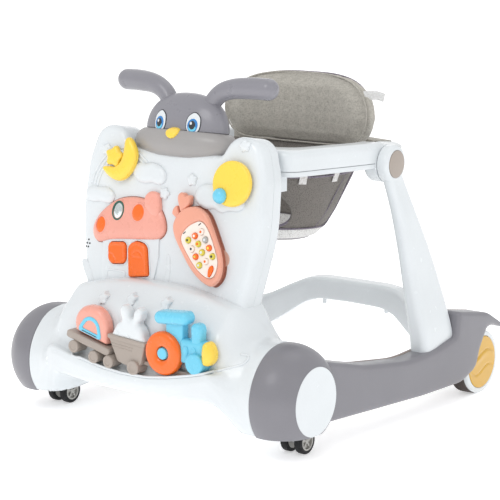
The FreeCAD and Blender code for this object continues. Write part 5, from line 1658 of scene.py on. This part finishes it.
for side, tag in SIDES:
    spin = f"{tag}_rear_wheel"
    axis = (side, 0, 0)
    hub = (0.0, REAR_Y, REAR_Z)
    tread = [(265.2, 50.0), (265.2, 55.5), (266.2, 57.2), (268.5, 58.0)]
    for k in range(7):
        x = 270.6 + 3.0 * k
        tread += [(x - 0.9, 58.0), (x - 0.5, 57.1), (x + 0.5, 57.1), (x + 0.9, 58.0)]
    tread += [(290.0, 57.8), (291.6, 56.6), (292.0, 55.0), (292.0, 50.0)]
    turned_part(f"{tag}_rear_tread", tread, hub, axis, BROWN_RUBBER, spin, segments=128,
                sharp=25)
    rim = [(267.0, 0), (267.0, 12), (279, 13), (281, 44), (268, 46.5), (267.2, 50.5), (286, 51),
           (291.8, 51), (292.2, FLANGE_RADIUS - 0.6), (294, FLANGE_RADIUS), (296.8, FLANGE_RADIUS),
           (299.0, FLANGE_RADIUS - 1.2), (300.0, FLANGE_RADIUS - 3.4), (300.0, CAP_RADIUS + 1.2),
           (299.2, CAP_RADIUS + 0.5), (297.6, CAP_RADIUS + 0.4), (297.2, 0)]
    turned_part(f"{tag}_rear_wheel_rim", rim, hub, axis, WHITE, spin, segments=128, sharp=30)
    slab(f"{tag}_rear_cap", circle(REAR_Y, REAR_Z, CAP_RADIUS, 2.0), side_spot(300.8, side), 3.4, GOLDEN,
         spin, roll=2.0, rise=1.6, grid=1.9, crown=cap_crown)

# ---------------------------------------------------------------- uprights

UPRIGHT = [(88, 259, 292, 340, 441, 9), (130, 258, 293, 337, 438, 9), (200, 252, 281, 326, 421, 9),
           (280, 243, 268, 316, 393, 9), (350, 236, 258, 302, 359, 8), (405, 231, 250, 285, 331, 6),
           (426, 230, 250, 278, 318, 5)]
rows = np.array(UPRIGHT, float)
fine = np.linspace(88, 426, 44)
smooth_rows = smooth_loop(rows, 4.0, False)
order = np.argsort(smooth_rows[:, 0])
for side, tag in SIDES:
    rings = []
    for z in fine:
        x0, x1, y0, y1, radius = (np.interp(z, smooth_rows[order, 0], smooth_rows[order, k])
                                  for k in range(1, 6))
        outline = section([(side * x0, y0, radius + 2), (side * x1, y0, min(radius + 5, (x1 - x0) / 2)),
                           (side * x1, y1, radius + 3), (side * x0, y1, radius)], 7, 6)
        rings.append(np.column_stack([outline, np.full(len(outline), z)]))
    loft(f"{tag}_upright", rings, WHITE, "root")
    head_profile = [(230.4, 0), (230.4, 30.6), (231.4, 31.7), (233, 32.0), (243.5, 32.0), (246.2, 31.2),
                    (248.6, 29.0), (250.0, 26.0), (250.3, 24.4), (249.8, 23.7), (248.2, 23.6), (248.2, 0)]
    turned_part(f"{tag}_upright_head", head_profile, (0, HINGE_Y, HINGE_Z), (side, 0, 0), WHITE, "root",
                segments=96)
    cap_profile = [(248.4, 0), (248.4, 23.2), (250.4, 23.2), (251.2, 22.7), (251.5, 21.6), (251.5, 0)]
    turned_part(f"{tag}_hinge_disc", cap_profile, (0, HINGE_Y, HINGE_Z), (side, 0, 0), TAUPE, "root",
                segments=96)

# ---------------------------------------------------------------- rear crossbar

BAR_X = [0, 70, 100, 140, 175, 205, 243]
BAR_FRONT_Y = [546, 547, 544, 534, 522, 514, 505]
BAR_BACK_Y = [592, 592, 590, 581, 570, 560, 549]
BAR_LOW_Z = [124, 122, 113, 84, 60, 50, 46]
BAR_TOP_Z = [164, 163.5, 160, 141, 122, 112, 106]
rings = []
for x in np.linspace(-246, 246, 90):
    y0, y1, z0, z1 = (np.interp(abs(x), BAR_X, values) for values in (BAR_FRONT_Y, BAR_BACK_Y, BAR_LOW_Z,
                                                                      BAR_TOP_Z))
    outline = section([(y0, z0, 3), (y0 + 1, z1 - 7, 12), (y0 + 12, z1, 14), (y1 - 6, z1, 10),
                       (y1, z1 - 10, 8), (y1, z0, 3)], 6, 3)
    rings.append(np.column_stack([np.full(len(outline), x), outline]))
for _ in range(3):
    rings = [rings[0]] + [(a + 2 * b + c) / 4 for a, b, c in zip(rings, rings[1:], rings[2:])] + [rings[-1]]
loft("crossbar", rings, WHITE, "root")
for side in (-1, 1):
    turned_part(f"mat_peg_{'right' if side > 0 else 'left'}", [(0, 0), (0, 4), (10.6, 4), (11.6, 3.4),
                                                               (12, 2.4), (12, 0)],
                (side * 70.0, 568.0, 121.0), (0, 0, -1), WHITE, "root", segments=32)

# ---------------------------------------------------------------- CAD nodes that pieces stand for

STANDS_FOR = (
    ("panel_front", "panel_front_shell"), ("panel_rear", "panel_rear_shell"), ("roof", "house_roof"),
    ("roof_oval_0", "roof_windows"), ("mirror_gem", "roof_mirror"), ("window_key", "window_button"),
    ("door_key", "door_button"), ("moon_crescent", "moon_spinner"), ("sun_disc", "sun_dial"),
    ("sun_knob_ball", "sun_knob"), ("phone_shell", "phone_body"), ("phone_face_plate", "phone_face"),
    ("phone_key_0", "phone_keypad"), ("speaker_hole_0", "speaker"), ("bumper", "bumper_shell"),
    ("wagon_dome", "dome_wagon"), ("wagon_arch", "dome_wagon_arch"), ("cart_left", "wagon_carts"),
    ("bunny", "rabbit_figure"), ("loco_snout", "loco_nose"), ("loco_boiler", "loco_body"),
    ("donut", "donut_wheel"), ("head", "rabbit_head_shell"), ("muzzle", "rabbit_muzzle"),
    ("left_eye_white", "rabbit_eyes"), ("nose", "rabbit_nose"), ("left_ear", "left_ear_handle"),
    ("right_ear", "right_ear_handle"), ("seat_top", "seat_frame_top"),
    ("seat_bottom", "seat_frame_bottom"), ("sling", "seat_sling"), ("backrest", "backrest_pad"),
    ("crossbar", "rear_crossbar"), ("right_hinge_disc", "hinge_caps"), ("left_rail", "left_base_rail"),
    ("right_rail", "right_base_rail"), ("left_rear_tread", "left_rear_tyre"),
    ("right_rear_tread", "right_rear_tyre"), ("left_rear_wheel_rim", "left_rear_rim"),
    ("right_rear_wheel_rim", "right_rear_rim"), ("left_rear_cap", "left_rear_hub_cap"),
    ("right_rear_cap", "right_rear_hub_cap"), ("left_upright", "left_rear_upright"),
    ("right_upright", "right_rear_upright"))
for name, node in STANDS_FOR:
    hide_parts(node)

dress_nodes()
